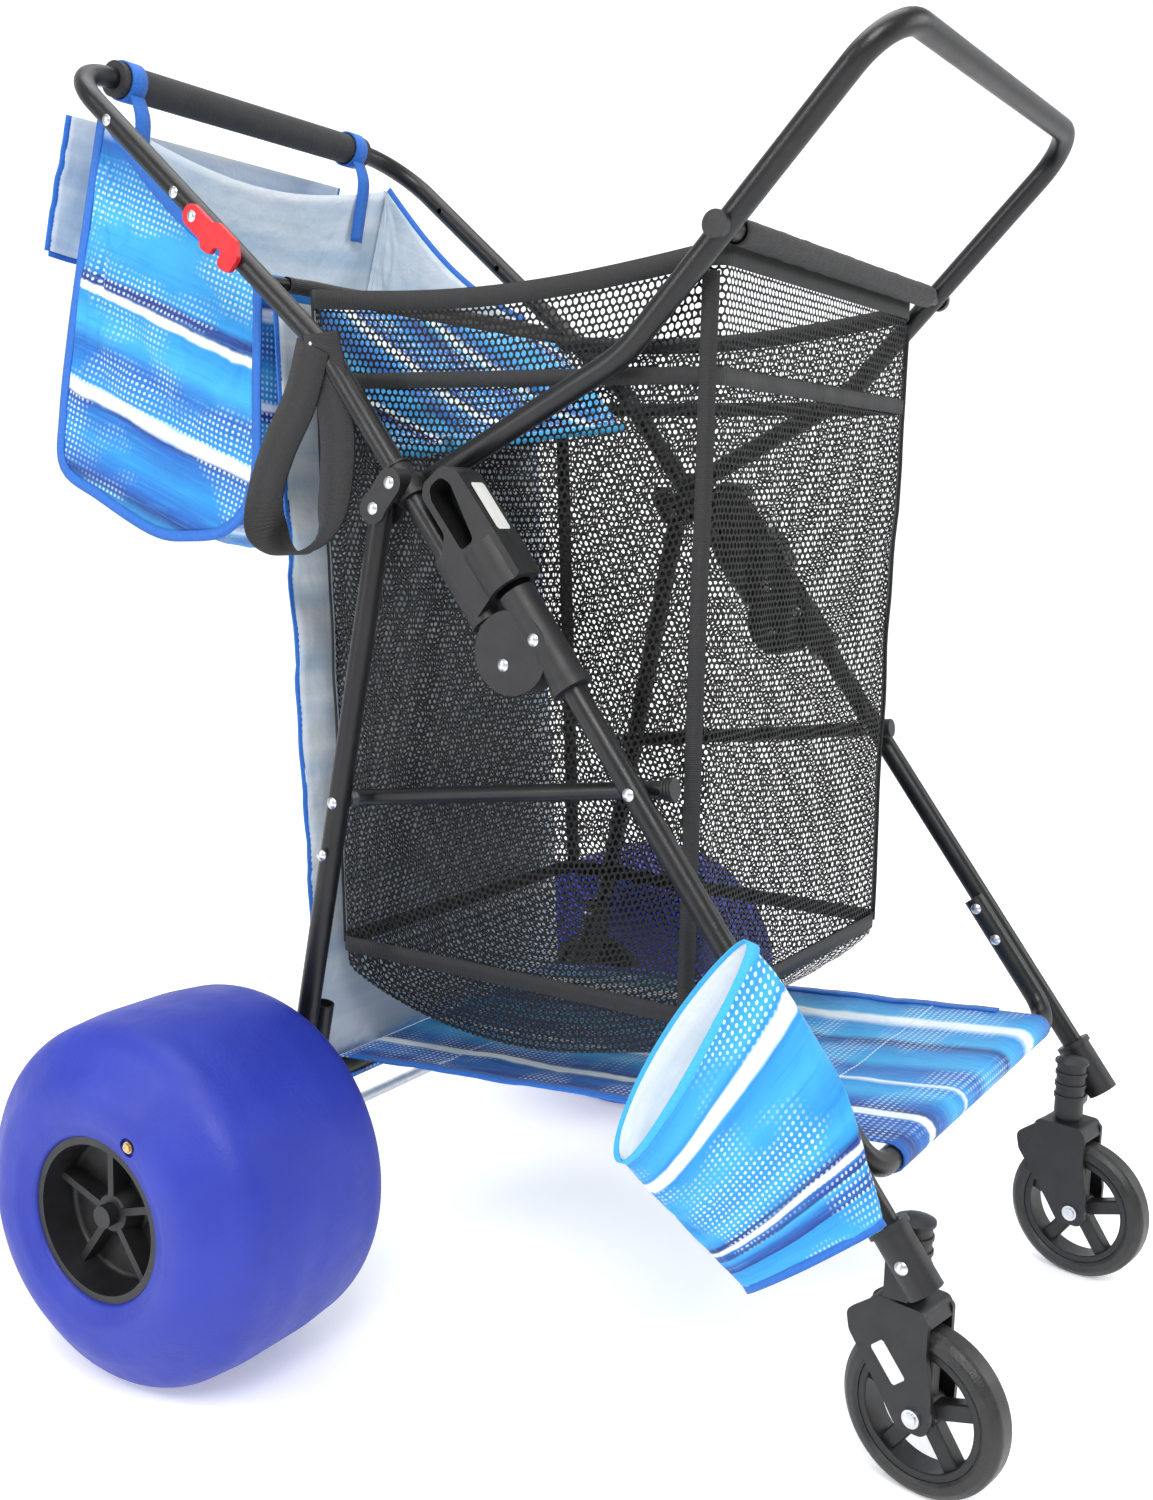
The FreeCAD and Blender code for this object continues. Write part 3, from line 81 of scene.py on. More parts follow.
class Shader:
    """A material under construction, with short calls for the nodes it uses."""

    def __init__(self, name):
        self.material = bpy.data.materials.new(name)
        self.material.use_nodes = True
        self.tree = self.material.node_tree
        self.surface = self.tree.nodes["Principled BSDF"]

    def add(self, kind, **settings):
        made = self.tree.nodes.new(kind)
        for key, value in settings.items():
            setattr(made, key, value)
        return made

    def feed(self, socket, value):
        """Connect an output to an input, or set the input to a plain value."""
        if isinstance(value, bpy.types.NodeSocket):
            self.tree.links.new(value, socket)
        else:
            socket.default_value = value

    def math(self, operation, first, second=0.0, third=0.0):
        made = self.add("ShaderNodeMath", operation=operation)
        for socket, value in zip(made.inputs, (first, second, third)):
            self.feed(socket, value)
        return made.outputs[0]

    def vector(self, operation, first, second=(0, 0, 0), output=0):
        made = self.add("ShaderNodeVectorMath", operation=operation)
        self.feed(made.inputs[0], first)
        if operation == "SCALE":
            self.feed(made.inputs["Scale"], second)
        elif operation not in ("LENGTH", "ABSOLUTE", "NORMALIZE"):
            self.feed(made.inputs[1], second)
        return made.outputs[output]

    def mix(self, share, first, second):
        made = self.add("ShaderNodeMix", data_type="RGBA")
        self.feed(made.inputs["Factor"], share)
        self.feed(made.inputs[6], first)
        self.feed(made.inputs[7], second)
        return made.outputs[2]

    def ramp(self, value, stops):
        """A colour ramp; each stop is (place, grey or colour)."""
        made = self.add("ShaderNodeValToRGB")
        elements = made.color_ramp.elements
        while len(elements) < len(stops):
            elements.new(0.5)
        for element, (place, colour) in zip(elements, stops):
            element.position = place
            element.color = colour if isinstance(colour, tuple) else (colour, colour, colour, 1)
        self.feed(made.inputs["Fac"], value)
        return made.outputs["Color"]

    def noise(self, where, scale, detail=3.0, roughness=0.5):
        made = self.add("ShaderNodeTexNoise")
        self.feed(made.inputs["Vector"], where)
        made.inputs["Scale"].default_value = scale
        made.inputs["Detail"].default_value = detail
        made.inputs["Roughness"].default_value = roughness
        return made.outputs["Fac"]

    def cells(self, where, scale, randomness=1.0):
        """Distance from the nearest of a lattice of points, scattered by randomness."""
        made = self.add("ShaderNodeTexVoronoi")
        self.feed(made.inputs["Vector"], where)
        made.inputs["Scale"].default_value = scale
        made.inputs["Randomness"].default_value = randomness
        return made.outputs["Distance"]

    def place(self, coordinate="Object"):
        return self.add("ShaderNodeTexCoord").outputs[coordinate]

    def bump(self, layers):
        """Stack (height, depth in metres) layers into the surface normal."""
        normal = None
        for height, depth in layers:
            made = self.add("ShaderNodeBump")
            made.inputs["Strength"].default_value = 1.0
            made.inputs["Distance"].default_value = depth
            self.feed(made.inputs["Height"], height)
            if normal is not None:
                self.feed(made.inputs["Normal"], normal)
            normal = made.outputs["Normal"]
        self.feed(self.surface.inputs["Normal"], normal)

    def finish(self, colour, roughness, metallic=0.0, **others):
        self.feed(self.surface.inputs["Base Color"], colour)
        self.feed(self.surface.inputs["Roughness"], roughness)
        self.surface.inputs["Metallic"].default_value = metallic
        for name, value in others.items():
            self.feed(self.surface.inputs[name.replace("_", " ")], value)
        return self.material


def rgb(red, green, blue):
    return (red, green, blue, 1.0)


# ---------------------------------------------- hard materials

def powder_coat():
    """Satin black coat with a fine orange peel, faint dust and thin wear."""
    s = Shader("powder_coat")
    where = s.place()
    dust = s.ramp(s.noise(where, 22.0, 5.0, 0.65), [(0.45, 0.0), (0.8, 1.0)])
    colour = s.mix(s.math("MULTIPLY", dust, 0.35), rgb(0.006, 0.006, 0.007), rgb(0.026, 0.025, 0.024))
    rough = s.math("MULTIPLY_ADD", s.noise(where, 60.0), 0.16, 0.27)
    s.bump([(s.noise(where, 650.0, 2.0), 0.00018), (s.noise(where, 90.0), 0.0001)])
    return s.finish(colour, rough, Specular_IOR_Level=0.42)


def moulded(name, dark, light, low, spread, grain=0.0002):
    """Moulded plastic with a fine spark-eroded grain and faint handling marks."""
    s = Shader(name)
    where = s.place()
    marks = s.ramp(s.noise(where, 35.0, 6.0, 0.7), [(0.4, 0.0), (0.75, 1.0)])
    rough = s.math("MULTIPLY_ADD", s.noise(where, 80.0), spread, low)
    s.bump([(s.noise(where, 1400.0, 2.0), grain), (s.noise(where, 180.0), grain * 0.5)])
    return s.finish(s.mix(s.math("MULTIPLY", marks, 0.5), dark, light), rough)


def bright_steel(name, tint, low):
    """Plated or drawn steel with fine turning lines and small dull patches."""
    s = Shader(name)
    where = s.place()
    stretched = s.vector("MULTIPLY", where, (60.0, 1.0, 1.0))
    dull = s.noise(where, 160.0, 4.0)
    rough = s.math("MULTIPLY_ADD", dull, 0.3, low)
    s.bump([(s.noise(stretched, 40.0, 3.0), 0.00006)])
    return s.finish(s.mix(dull, tint, rgb(0.46, 0.47, 0.49)), rough, 1.0)


def grip_foam():
    """Closed-cell foam with a pitted skin."""
    s = Shader("grip_foam")
    where = s.place()
    pits = s.cells(where, 520.0)
    colour = s.mix(s.noise(where, 45.0), rgb(0.012, 0.012, 0.013), rgb(0.034, 0.034, 0.036))
    s.bump([(pits, 0.0004), (s.noise(where, 55.0), 0.0006)])
    return s.finish(colour, 0.72)


def balloon_rubber():
    """Blue blown tyre: swirled gloss, faint flow marks and a moulding line round its middle."""
    s = Shader("balloon_rubber")
    where = s.place()
    swirl = s.noise(s.vector("MULTIPLY", where, (1.0, 2.2, 2.2)), 9.0, 6.0, 0.6)
    parts = s.add("ShaderNodeSeparateXYZ")
    s.feed(parts.inputs[0], where)
    tyre_middle = JOINTS["wheel_roll_left"]["pos_m"][0]
    off_middle = s.math("ABSOLUTE", s.math("SUBTRACT", s.math("ABSOLUTE", parts.outputs[0]), tyre_middle))
    line = s.math("LESS_THAN", off_middle, 0.0007)
    blue = s.mix(swirl, rgb(0.007, 0.018, 0.27), rgb(0.015, 0.036, 0.40))
    sand = s.ramp(s.noise(where, 60.0, 8.0, 0.75), [(0.6, 0.0), (0.78, 1.0)])
    colour = s.mix(s.math("MULTIPLY", sand, 0.16), blue, rgb(0.06, 0.10, 0.46))
    rough = s.math("MULTIPLY_ADD", s.noise(where, 30.0, 5.0), 0.3, 0.36)
    s.bump([(s.noise(where, 7.0, 4.0), 0.006), (s.noise(where, 420.0, 3.0), 0.0003), (line, 0.0006)])
    return s.finish(colour, rough, Subsurface_Weight=0.05)


def tread_rubber():
    """Solid caster tread: dark, slightly polished, with fine rings and scuffs."""
    s = Shader("tread_rubber")
    where = s.place()
    scuff = s.ramp(s.noise(where, 70.0, 6.0, 0.7), [(0.45, 0.0), (0.8, 1.0)])
    colour = s.mix(s.math("MULTIPLY", scuff, 0.5), rgb(0.012, 0.012, 0.012), rgb(0.055, 0.053, 0.05))
    s.bump([(s.noise(where, 700.0, 3.0), 0.0003), (s.noise(where, 40.0), 0.0005)])
    return s.finish(colour, s.math("MULTIPLY_ADD", scuff, 0.25, 0.38))


def valve_brass():
    """Tarnished brass of the tyre valves."""
    s = Shader("valve_brass")
    where = s.place()
    tarnish = s.noise(where, 300.0, 5.0)
    s.bump([(s.noise(where, 900.0), 0.0002)])
    return s.finish(s.mix(tarnish, rgb(0.70, 0.52, 0.24), rgb(0.36, 0.25, 0.12)), 0.32, 1.0)


def blank_label():
    """Off-white paper label with no print."""
    s = Shader("blank_label")
    where = s.place()
    s.bump([(s.noise(where, 300.0), 0.0002)])
    return s.finish(s.mix(s.noise(where, 90.0), rgb(0.78, 0.78, 0.76), rgb(0.62, 0.62, 0.60)), 0.5)


# ---------------------------------------------- cloth materials

WHITE = rgb(0.80, 0.88, 0.92)
SKY = rgb(0.035, 0.37, 0.72)
CYAN = rgb(0.008, 0.24, 0.62)
BLUE = rgb(0.004, 0.105, 0.44)
NAVY = rgb(0.003, 0.026, 0.20)
BAG_BANDS = [
    (0.0, NAVY), (0.03, BLUE), (0.10, CYAN), (0.185, BLUE), (0.20, NAVY), (0.21, WHITE),
    (0.238, WHITE), (0.25, CYAN), (0.34, BLUE), (0.40, SKY), (0.48, CYAN), (0.487, WHITE),
    (0.503, WHITE), (0.51, NAVY), (0.535, NAVY), (0.55, CYAN), (0.70, SKY), (0.80, CYAN),
    (0.88, BLUE), (0.93, WHITE), (0.95, SKY), (1.0, NAVY)
]
SHELF_BANDS = [
    (0.0, BLUE), (0.05, NAVY), (0.09, BLUE), (0.135, BLUE), (0.145, WHITE), (0.17, WHITE),
    (0.18, NAVY), (0.22, BLUE), (0.30, SKY), (0.35, CYAN), (0.37, WHITE), (0.38, CYAN),
    (0.46, BLUE), (0.52, SKY), (0.60, CYAN), (0.66, NAVY), (0.69, SKY), (0.78, CYAN),
    (0.82, WHITE), (0.85, WHITE), (0.87, SKY), (1.0, BLUE)
]
POUCH_BANDS = [
    (0.0, CYAN), (0.15, SKY), (0.20, CYAN), (0.215, WHITE), (0.275, WHITE), (0.29, CYAN),
    (0.45, SKY), (0.62, CYAN), (0.72, SKY), (0.78, CYAN), (0.80, NAVY), (0.82, NAVY),
    (0.83, WHITE), (0.85, WHITE), (0.86, BLUE), (0.90, NAVY), (0.91, SKY), (0.95, BLUE),
    (1.0, NAVY)
]


def weave_bump(s, where):
    """Plain weave and slack creases as bump layers."""
    threads = s.cells(where, 900.0, 0.25)
    creases = s.noise(where, 16.0, 4.0, 0.55)
    puckers = s.noise(where, 55.0, 3.0)
    return [(threads, 0.00022), (creases, 0.006), (puckers, 0.0012)]


def printed_cloth(name, bands, period, start, sway=0.05, along_u=False):
    """Polyester printed with painted bands, brush streaks and patches of small white dots."""
    s = Shader(name)
    where = s.place("UV")
    parts = s.add("ShaderNodeSeparateXYZ")
    s.feed(parts.inputs[0], where)
    along = parts.outputs[0 if along_u else 1]
    warp = s.noise(where, 9.0, 5.0, 0.6)
    shift = s.math("MULTIPLY_ADD", warp, sway, start - sway / 2)
    place = s.math("ADD", s.math("DIVIDE", along, period), shift)
    painted = s.ramp(s.math("FRACT", place), bands)
    stretch = (240.0, 12.0, 1.0) if along_u else (12.0, 240.0, 1.0)
    brush = s.noise(s.vector("MULTIPLY", where, stretch), 1.0, 5.0, 0.65)
    light = s.mix(s.ramp(brush, [(0.50, 0.0), (0.70, 0.45)]), painted, SKY)
    streaked = s.mix(s.ramp(brush, [(0.28, 0.5), (0.44, 0.0)]), light, BLUE)
    dot = s.math("LESS_THAN", s.cells(where, 185.0, 0.0), 0.27)
    cloud = s.noise(s.vector("MULTIPLY", where, (7.0, 13.0, 1.0)), 1.0, 2.0)
    patch = s.ramp(cloud, [(0.47, 0.0), (0.55, 1.0)])
    dotted = s.mix(s.math("MULTIPLY", s.math("MULTIPLY", dot, patch), 0.62), streaked, WHITE)
    s.bump(weave_bump(s, where))
    return s.finish(dotted, 0.62, Sheen_Weight=0.08, Sheen_Roughness=0.4)


def cloth_back():
    """Unprinted reverse: off-white with the bands showing through faintly."""
    s = Shader("cloth_back")
    where = s.place("UV")
    ghost = s.noise(s.vector("MULTIPLY", where, (3.0, 30.0, 1.0)), 1.0, 4.0)
    colour = s.mix(s.ramp(ghost, [(0.40, 0.0), (0.72, 1.0)]), rgb(0.66, 0.71, 0.76), rgb(0.36, 0.50, 0.64))
    s.bump(weave_bump(s, where))
    return s.finish(colour, 0.7, Sheen_Weight=0.1)


def plain_cloth(name, dark, light):
    """Solid-colour woven tape or hem."""
    s = Shader(name)
    where = s.place("UV")
    along_tape = s.vector("DOT_PRODUCT", where, (0.0, 1.0, 0.0), output=1)
    ribs = s.math("SINE", s.math("MULTIPLY", along_tape, 3600.0))
    s.bump([(ribs, 0.00012), (s.noise(where, 120.0), 0.0006)])
    return s.finish(s.mix(s.noise(where, 260.0, 4.0), dark, light), 0.66, Sheen_Weight=0.06)


def knitted_net():
    """Knitted net: black threads round rows of rounded holes, and nothing inside them."""
    s = Shader("knitted_net")
    where = s.place("UV")
    stretch = s.vector("MULTIPLY", where, (NET_COLUMNS, NET_ROWS, 0.0))
    uneven = s.add("ShaderNodeTexNoise")
    s.feed(uneven.inputs["Vector"], s.vector("MULTIPLY", where, (40.0, 40.0, 1.0)))
    wander = s.vector("SCALE", s.vector("SUBTRACT", uneven.outputs["Color"], (0.5, 0.5, 0.5)), 0.35)
    cell = s.vector("MULTIPLY", s.vector("ADD", stretch, wander), (1.0, 1.0, 0.0))
    between = s.vector("SUBTRACT", cell, NET_HALF_CELL)
    first = s.vector("LENGTH", from_cell_middle(s, cell), output=1)
    second = s.vector("LENGTH", from_cell_middle(s, between), output=1)
    reach = s.math("MINIMUM", first, second)
    thread = s.math("GREATER_THAN", reach, NET_HOLE)
    s.bump([(reach, 0.001)])
    return s.finish(rgb(0.006, 0.006, 0.006), 0.6, Alpha=thread, Specular_IOR_Level=0.3)


def from_cell_middle(s, cell):
    """Each point's place from the middle of its own cell of the net."""
    shape = (2 * NET_HALF_CELL[0], 2 * NET_HALF_CELL[1], 1.0)
    far = (NET_CELLS_OFF * shape[0], NET_CELLS_OFF * shape[1], 0.0)
    return s.vector("SUBTRACT", s.vector("MODULO", s.vector("ADD", cell, far), shape), NET_HALF_CELL)


# ---------------------------------------------- mesh helpers

def smooth_path(points, steps):
    """A Catmull-Rom curve through points, with steps pieces between neighbours."""
    ends = [points[0] * 2 - points[1]] + list(points) + [points[-1] * 2 - points[-2]]
    path = []
    for i in range(1, len(ends) - 2):
        a, b, c, d = ends[i - 1:i + 3]
        for k in range(steps):
            w = k / steps
            path.append(0.5 * (2 * b + (c - a) * w + (2 * a - 5 * b + 4 * c - d) * w ** 2
                               + (3 * b - a - 3 * c + d) * w ** 3))
    path.append(points[-1].copy())
    return path


def along(path, share):
    """The point a share of the way through a list of points."""
    place = min(max(share, 0.0), 1.0) * (len(path) - 1)
    low = min(int(place), len(path) - 2)
    return path[low].lerp(path[low + 1], place - low)


def travelled(points):
    """Distance from the first point to each point."""
    total = [0.0]
    for before, after in zip(points, points[1:]):
        total.append(total[-1] + (after - before).length)
    return total


def crumple(u, v, seed, depth):
    """A smooth random height for soft folds, zero on average."""
    coarse = noise.noise(Vector((u * 3.1, v * 3.7, seed)))
    fine = noise.noise(Vector((u * 9.0, v * 11.0, seed + 7.0)))
    return depth * (coarse + 0.35 * fine)


def sheet_piece(name, point_at, columns, rows, materials, body, thickness=CLOTH):
    """A thick sheet through point_at(u, v), with UVs in metres; a second material is its reverse."""
    bm = bmesh.new()
    grid = []
    for j in range(rows + 1):
        grid.append([bm.verts.new(point_at(i / columns, j / rows)) for i in range(columns + 1)])
    across = travelled([vert.co for vert in grid[rows // 2]])
    down = travelled([row[columns // 2].co for row in grid])
    uvs = bm.loops.layers.uv.new("UVMap")
    for j in range(rows):
        for i in range(columns):
            corners = ((i, j), (i + 1, j), (i + 1, j + 1), (i, j + 1))
            face = bm.faces.new([grid[b][a] for a, b in corners])
            face.smooth = True
            for loop, (a, b) in zip(face.loops, corners):
                loop[uvs].uv = (across[a], down[b])
    return cloth_object(name, bm, materials, body, thickness)


def cloth_object(name, bm, materials, body, thickness=CLOTH):
    """Turn a bmesh into a named piece, give it thickness and set its materials and body."""
    mesh = bpy.data.meshes.new(name)
    bm.to_mesh(mesh)
    bm.free()
    obj = add_object(name, mesh)
    for material in materials:
        mesh.materials.append(material)
    if thickness > 0:
        thicken(obj, thickness, len(materials) - 1)
    if body:
        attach(obj, body)
    return obj


def add_object(name, data):
    """Put a mesh, lamp or camera into the scene."""
    obj = bpy.data.objects.new(name, data)
    bpy.context.collection.objects.link(obj)
    return obj


def thicken(obj, thickness, back):
    """Solidify and apply, so that the piece is final."""
    solid = obj.modifiers.new("thickness", "SOLIDIFY")
    solid.thickness = thickness
    solid.offset = 0.0
    solid.material_offset = back
    graph = bpy.context.evaluated_depsgraph_get()
    final = bpy.data.meshes.new_from_object(obj.evaluated_get(graph))
    obj.modifiers.clear()
    obj.data = final


def add_tape(bm, points, outward, width, thickness=0.0014, closed=False):
    """A flat tape along points, its face towards outward (one direction, or one for each point)."""
    uvs = bm.loops.layers.uv.verify()
    faces_out = outward if isinstance(outward, list) else [outward] * len(points)
    lengths = travelled(points)
    rings = []
    count = len(points)
    for i, point in enumerate(points):
        before = points[i - 1] if i or closed else points[0]
        after = points[(i + 1) % count] if i < count - 1 or closed else points[-1]
        run = (after - before).normalized()
        side = run.cross(faces_out[i]).normalized() * (width / 2)
        lift = faces_out[i].normalized() * (thickness / 2)
        signs = ((-1, 1), (1, 1), (1, -1), (-1, -1))
        rings.append([bm.verts.new(point + side * a + lift * b) for a, b in signs])
    for i in range(count if closed else count - 1):
        here, there = rings[i], rings[(i + 1) % count]
        far = lengths[i + 1] if i < count - 1 else lengths[i] + (points[0] - points[-1]).length
        for k in range(4):
            face = bm.faces.new([here[k], here[(k + 1) % 4], there[(k + 1) % 4], there[k]])
            face.smooth = k in (0, 2)
            across = width if k in (0, 2) else thickness
            corners = ((0.0, lengths[i]), (across, lengths[i]), (across, far), (0.0, far))
            for loop, uv in zip(face.loops, corners):
                loop[uvs].uv = uv
    if not closed:
        bm.faces.new(rings[0][::-1])
        bm.faces.new(rings[-1])


def add_stitches(bm, points, outward, pitch=0.006, length=0.0034, width=0.0009):
    """Short raised stitches along a line."""
    lengths = travelled(points)
    for k in range(int(lengths[-1] / pitch)):
        start = along_distance(points, lengths, k * pitch)
        end = along_distance(points, lengths, k * pitch + length)
        if (end - start).length > length * 0.5:
            add_tape(bm, [start, end], outward, width, 0.0007)


def along_distance(points, lengths, distance):
    """The point at a distance along a list of points, whose distances are lengths."""
    for i in range(len(points) - 1):
        if lengths[i + 1] >= distance:
            step = lengths[i + 1] - lengths[i]
            return points[i].lerp(points[i + 1], (distance - lengths[i]) / step if step else 0.0)
    return points[-1]


def node_middle(node):
    """The middle of a CAD node's box."""
    low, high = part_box(node)
    return (Vector(low) + Vector(high)) / 2


def bar_sleeve(name, centre, half_length, radius, body, seed):
    """Black tape wrapped round a bar along X, a little loose and uneven."""
    def point_at(u, v):
        angle = math.tau * v
        x = (2 * u - 1) * half_length
        loose = radius + crumple(u * 6, math.cos(angle), seed, 0.0007)
        return centre + Vector((x, math.cos(angle) * loose, math.sin(angle) * loose))
    return sheet_piece(name, point_at, 60, 20, [BLACK_TAPE], body, 0.0008)


# ---------------------------------------------- mesh basket

BASKET_HALF = 0.1975
BASKET_FRONT = -0.1435
BASKET_REAR = 0.252
BASKET_REAR_TAPER = 0.040
BASKET_TOP = 0.893
BASKET_LOW = 0.300
BASKET_FLOOR = 0.251
BASKET_CORNER = 0.10
RIM_REAR_DROP = 0.018
RIM_SIDE_DIP = 0.014
FOOT_SIDE_SAG = 0.046
WALL_DRAW_IN = 0.004
BELT_HEIGHT = 0.802
FOOT_HEIGHT = 0.312
TAPE_LIFT = 0.0016
CORNER_TAPE_LIFT = 0.0022
CORNER_TAPE_LENGTH = 0.565
SIDE_STEPS = 26
CORNER_STEPS = 5
WALL_ROWS = 44
FLOOR_RINGS = 16
NET_COLUMNS = 172.0
NET_ROWS = 158.0
NET_HOLE = 0.352
NET_HALF_CELL = (0.5, math.sqrt(3) / 2, 0.0)
NET_CELLS_OFF = 400.0


def rounded_plan(side_steps, corner_steps, radius):
    """Points round a square of half size 1 from its front right corner, each with its outward way."""
    ring = []
    corners = ((-1, -1, 180), (1, -1, 270), (1, 1, 0), (-1, 1, 90))
    for k, (cx, cy, start) in enumerate(corners):
        for i in range(corner_steps):
            angle = math.radians(start + 90 * i / corner_steps)
            way = Vector((math.cos(angle), math.sin(angle), 0))
            ring.append((Vector((cx, cy, 0)) * (1 - radius) + way * radius, way))
        end = math.radians(start + 90)
        way = Vector((math.cos(end), math.sin(end), 0))
        first = Vector((cx, cy, 0)) * (1 - radius) + way * radius
        nx, ny, _ = corners[(k + 1) % 4]
        last = Vector((nx, ny, 0)) * (1 - radius) + way * radius
        for i in range(side_steps):
            ring.append((first.lerp(last, i / side_steps), way))
    return ring


def basket_ends(plan_point):
    """Heights of the wall's top and bottom edges: the sides dip a little above and sag well below."""
    rear = plan_point.y * 0.5 + 0.5
    side = math.sin(math.pi * rear) * abs(plan_point.x)
    high = BASKET_TOP - RIM_REAR_DROP * rear - RIM_SIDE_DIP * side
    return high, BASKET_LOW - FOOT_SIDE_SAG * side ** 0.7


def basket_wall(plan_point, way, down):
    """Point of the basket's wall: down runs from 0 at the rim to 1 at the floor's edge."""
    rear = plan_point.y * 0.5 + 0.5
    rear_edge = BASKET_REAR - BASKET_REAR_TAPER * down
    y = BASKET_FRONT + (rear_edge - BASKET_FRONT) * rear
    high, low = basket_ends(plan_point)
    hang = math.sin(math.pi * min(down * 1.02, 1.0))
    fold = crumple(plan_point.x * 2.4 + rear * 3, down * 0.8, 3.0, 0.006) * hang
    x = plan_point.x * (BASKET_HALF - WALL_DRAW_IN * down)
    inward = WALL_DRAW_IN * hang * (1 - 0.4 * abs(plan_point.x * plan_point.y))
    return spot(x, y, high + (low - high) * down) + way * (min(fold, 0.002) - inward)


def tape_point(plan_point, way, height, out=TAPE_LIFT):
    """Point of the wall at a height, a little proud of the net."""
    high, low = basket_ends(plan_point)
    return basket_wall(plan_point, way, (high - height) / (high - low)) + way * out


def make_basket():
    """Net tub: walls hung from two bars and a floor that sags, with tape on its edges and corners."""
    plan = rounded_plan(SIDE_STEPS, CORNER_STEPS, BASKET_CORNER)
    count = len(plan)
    bm = bmesh.new()
    uvs = bm.loops.layers.uv.new("UVMap")
    rings = []
    for j in range(WALL_ROWS + 1):
        rings.append([bm.verts.new(basket_wall(p, way, j / WALL_ROWS)) for p, way in plan])
    belt = rings[WALL_ROWS // 2]
    round_way = travelled([vert.co for vert in belt] + [belt[0].co])
    down_way = travelled([ring[0].co for ring in rings])
    for j in range(WALL_ROWS):
        for i in range(count):
            spots = ((i, j), ((i + 1) % count, j), ((i + 1) % count, j + 1), (i, j + 1))
            face = bm.faces.new([rings[b][a] for a, b in spots])
            face.smooth = True
            for loop, u, v in zip(face.loops, (i, i + 1, i + 1, i), (j, j, j + 1, j + 1)):
                loop[uvs].uv = (round_way[u], down_way[v])
    make_basket_floor(bm, uvs, rings[-1])
    net = cloth_object("basket_net", bm, [knitted_net()], None, 0.0)
    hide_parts("mesh_basket")
    for piece in (net, make_basket_binding(plan)):
        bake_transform(piece)


def make_basket_floor(bm, uvs, edge):
    """Concentric rings from the wall's lower edge in to the middle, sagging under their own weight."""
    count = len(edge)
    middle = sum((vert.co for vert in edge), Vector()) / count
    last = edge
    for k in range(1, FLOOR_RINGS + 1):
        size = 1 - k / (FLOOR_RINGS + 0.6)
        ring = []
        for vert in edge:
            point = middle.lerp(vert.co, size)
            fold = crumple(point.x * 8, point.y * 8, 1.0, 0.002)
            height = BASKET_FLOOR + (vert.co.z - BASKET_FLOOR) * size ** 5 + fold
            ring.append(bm.verts.new((point.x, point.y, height)))
        for i in range(count):
            after = (i + 1) % count
            add_flat_face(bm, uvs, [last[i], last[after], ring[after], ring[i]]).smooth = True
        last = ring
    add_flat_face(bm, uvs, last)


def add_flat_face(bm, uvs, corners):
    """A face whose UVs are its place seen from above."""
    face = bm.faces.new(corners)
    for loop in face.loops:
        loop[uvs].uv = loop.vert.co.xy
    return face


def make_basket_binding(plan):
    """Black tape round the rim, across below it, round the foot, and down each corner."""
    bm = bmesh.new()
    ways = [way.copy() for _, way in plan]
    rim = [basket_wall(p, way, 0.006) + way * TAPE_LIFT for p, way in plan]
    add_tape(bm, rim, ways, 0.016, closed=True)
    for height, width in ((BELT_HEIGHT, 0.013), (FOOT_HEIGHT, 0.014)):
        add_tape(bm, [tape_point(p, way, height) for p, way in plan], ways, width, closed=True)
    heights = [FOOT_HEIGHT + j / 40 * CORNER_TAPE_LENGTH for j in range(41)]
    for k in range(4):
        p, way = plan[k * (CORNER_STEPS + SIDE_STEPS) + 2]
        add_tape(bm, [tape_point(p, way, height, CORNER_TAPE_LIFT) for height in heights], way, 0.013)
    binding = cloth_object("basket_binding", bm, [BLACK_TAPE], None, 0.0)
    return binding


def make_basket_sleeves():
    """The net's top edges are sewn round the two bars."""
    for end, half_length, radius, body, seed in (("front", 0.196, 0.0096, "top_frame", 2.0),
                                                 ("rear", 0.198, 0.0064, "handle_frame", 4.0)):
        middle = node_middle(f"basket_{end}_bar")
        sleeve = bar_sleeve(f"basket_{end}_sleeve", middle, half_length, radius, body, seed)


# ---------------------------------------------- storage bag

BAG_HALF = 0.204
BAG_MOUTH_DROOP = 0.030
BAG_BELLY = 0.012
SIDE_DROOP = 0.020
SIDE_BULGE = 0.004
BAND_TILT = 20.2
LOOP_WIDTH = 0.018
LOOP_X = 0.160
FLAP_HALF = 0.190
FLAP_TURN = -38
BAG_SIDE = [(0.298, 0.895), (0.300, 0.800), (0.303, 0.715), (0.334, 0.675), (0.385, 0.666), (0.430, 0.670),
            (0.500, 0.700), (0.548, 0.726), (0.548, 0.775), (0.532, 0.860), (0.508, 0.960), (0.487, 1.044)]


def bag_path(x):
    """The bag's outline from its front top edge, under its floor and up to its back top edge."""
    return smooth_path([spot(x, y, z) for y, z in BAG_SIDE], 6)


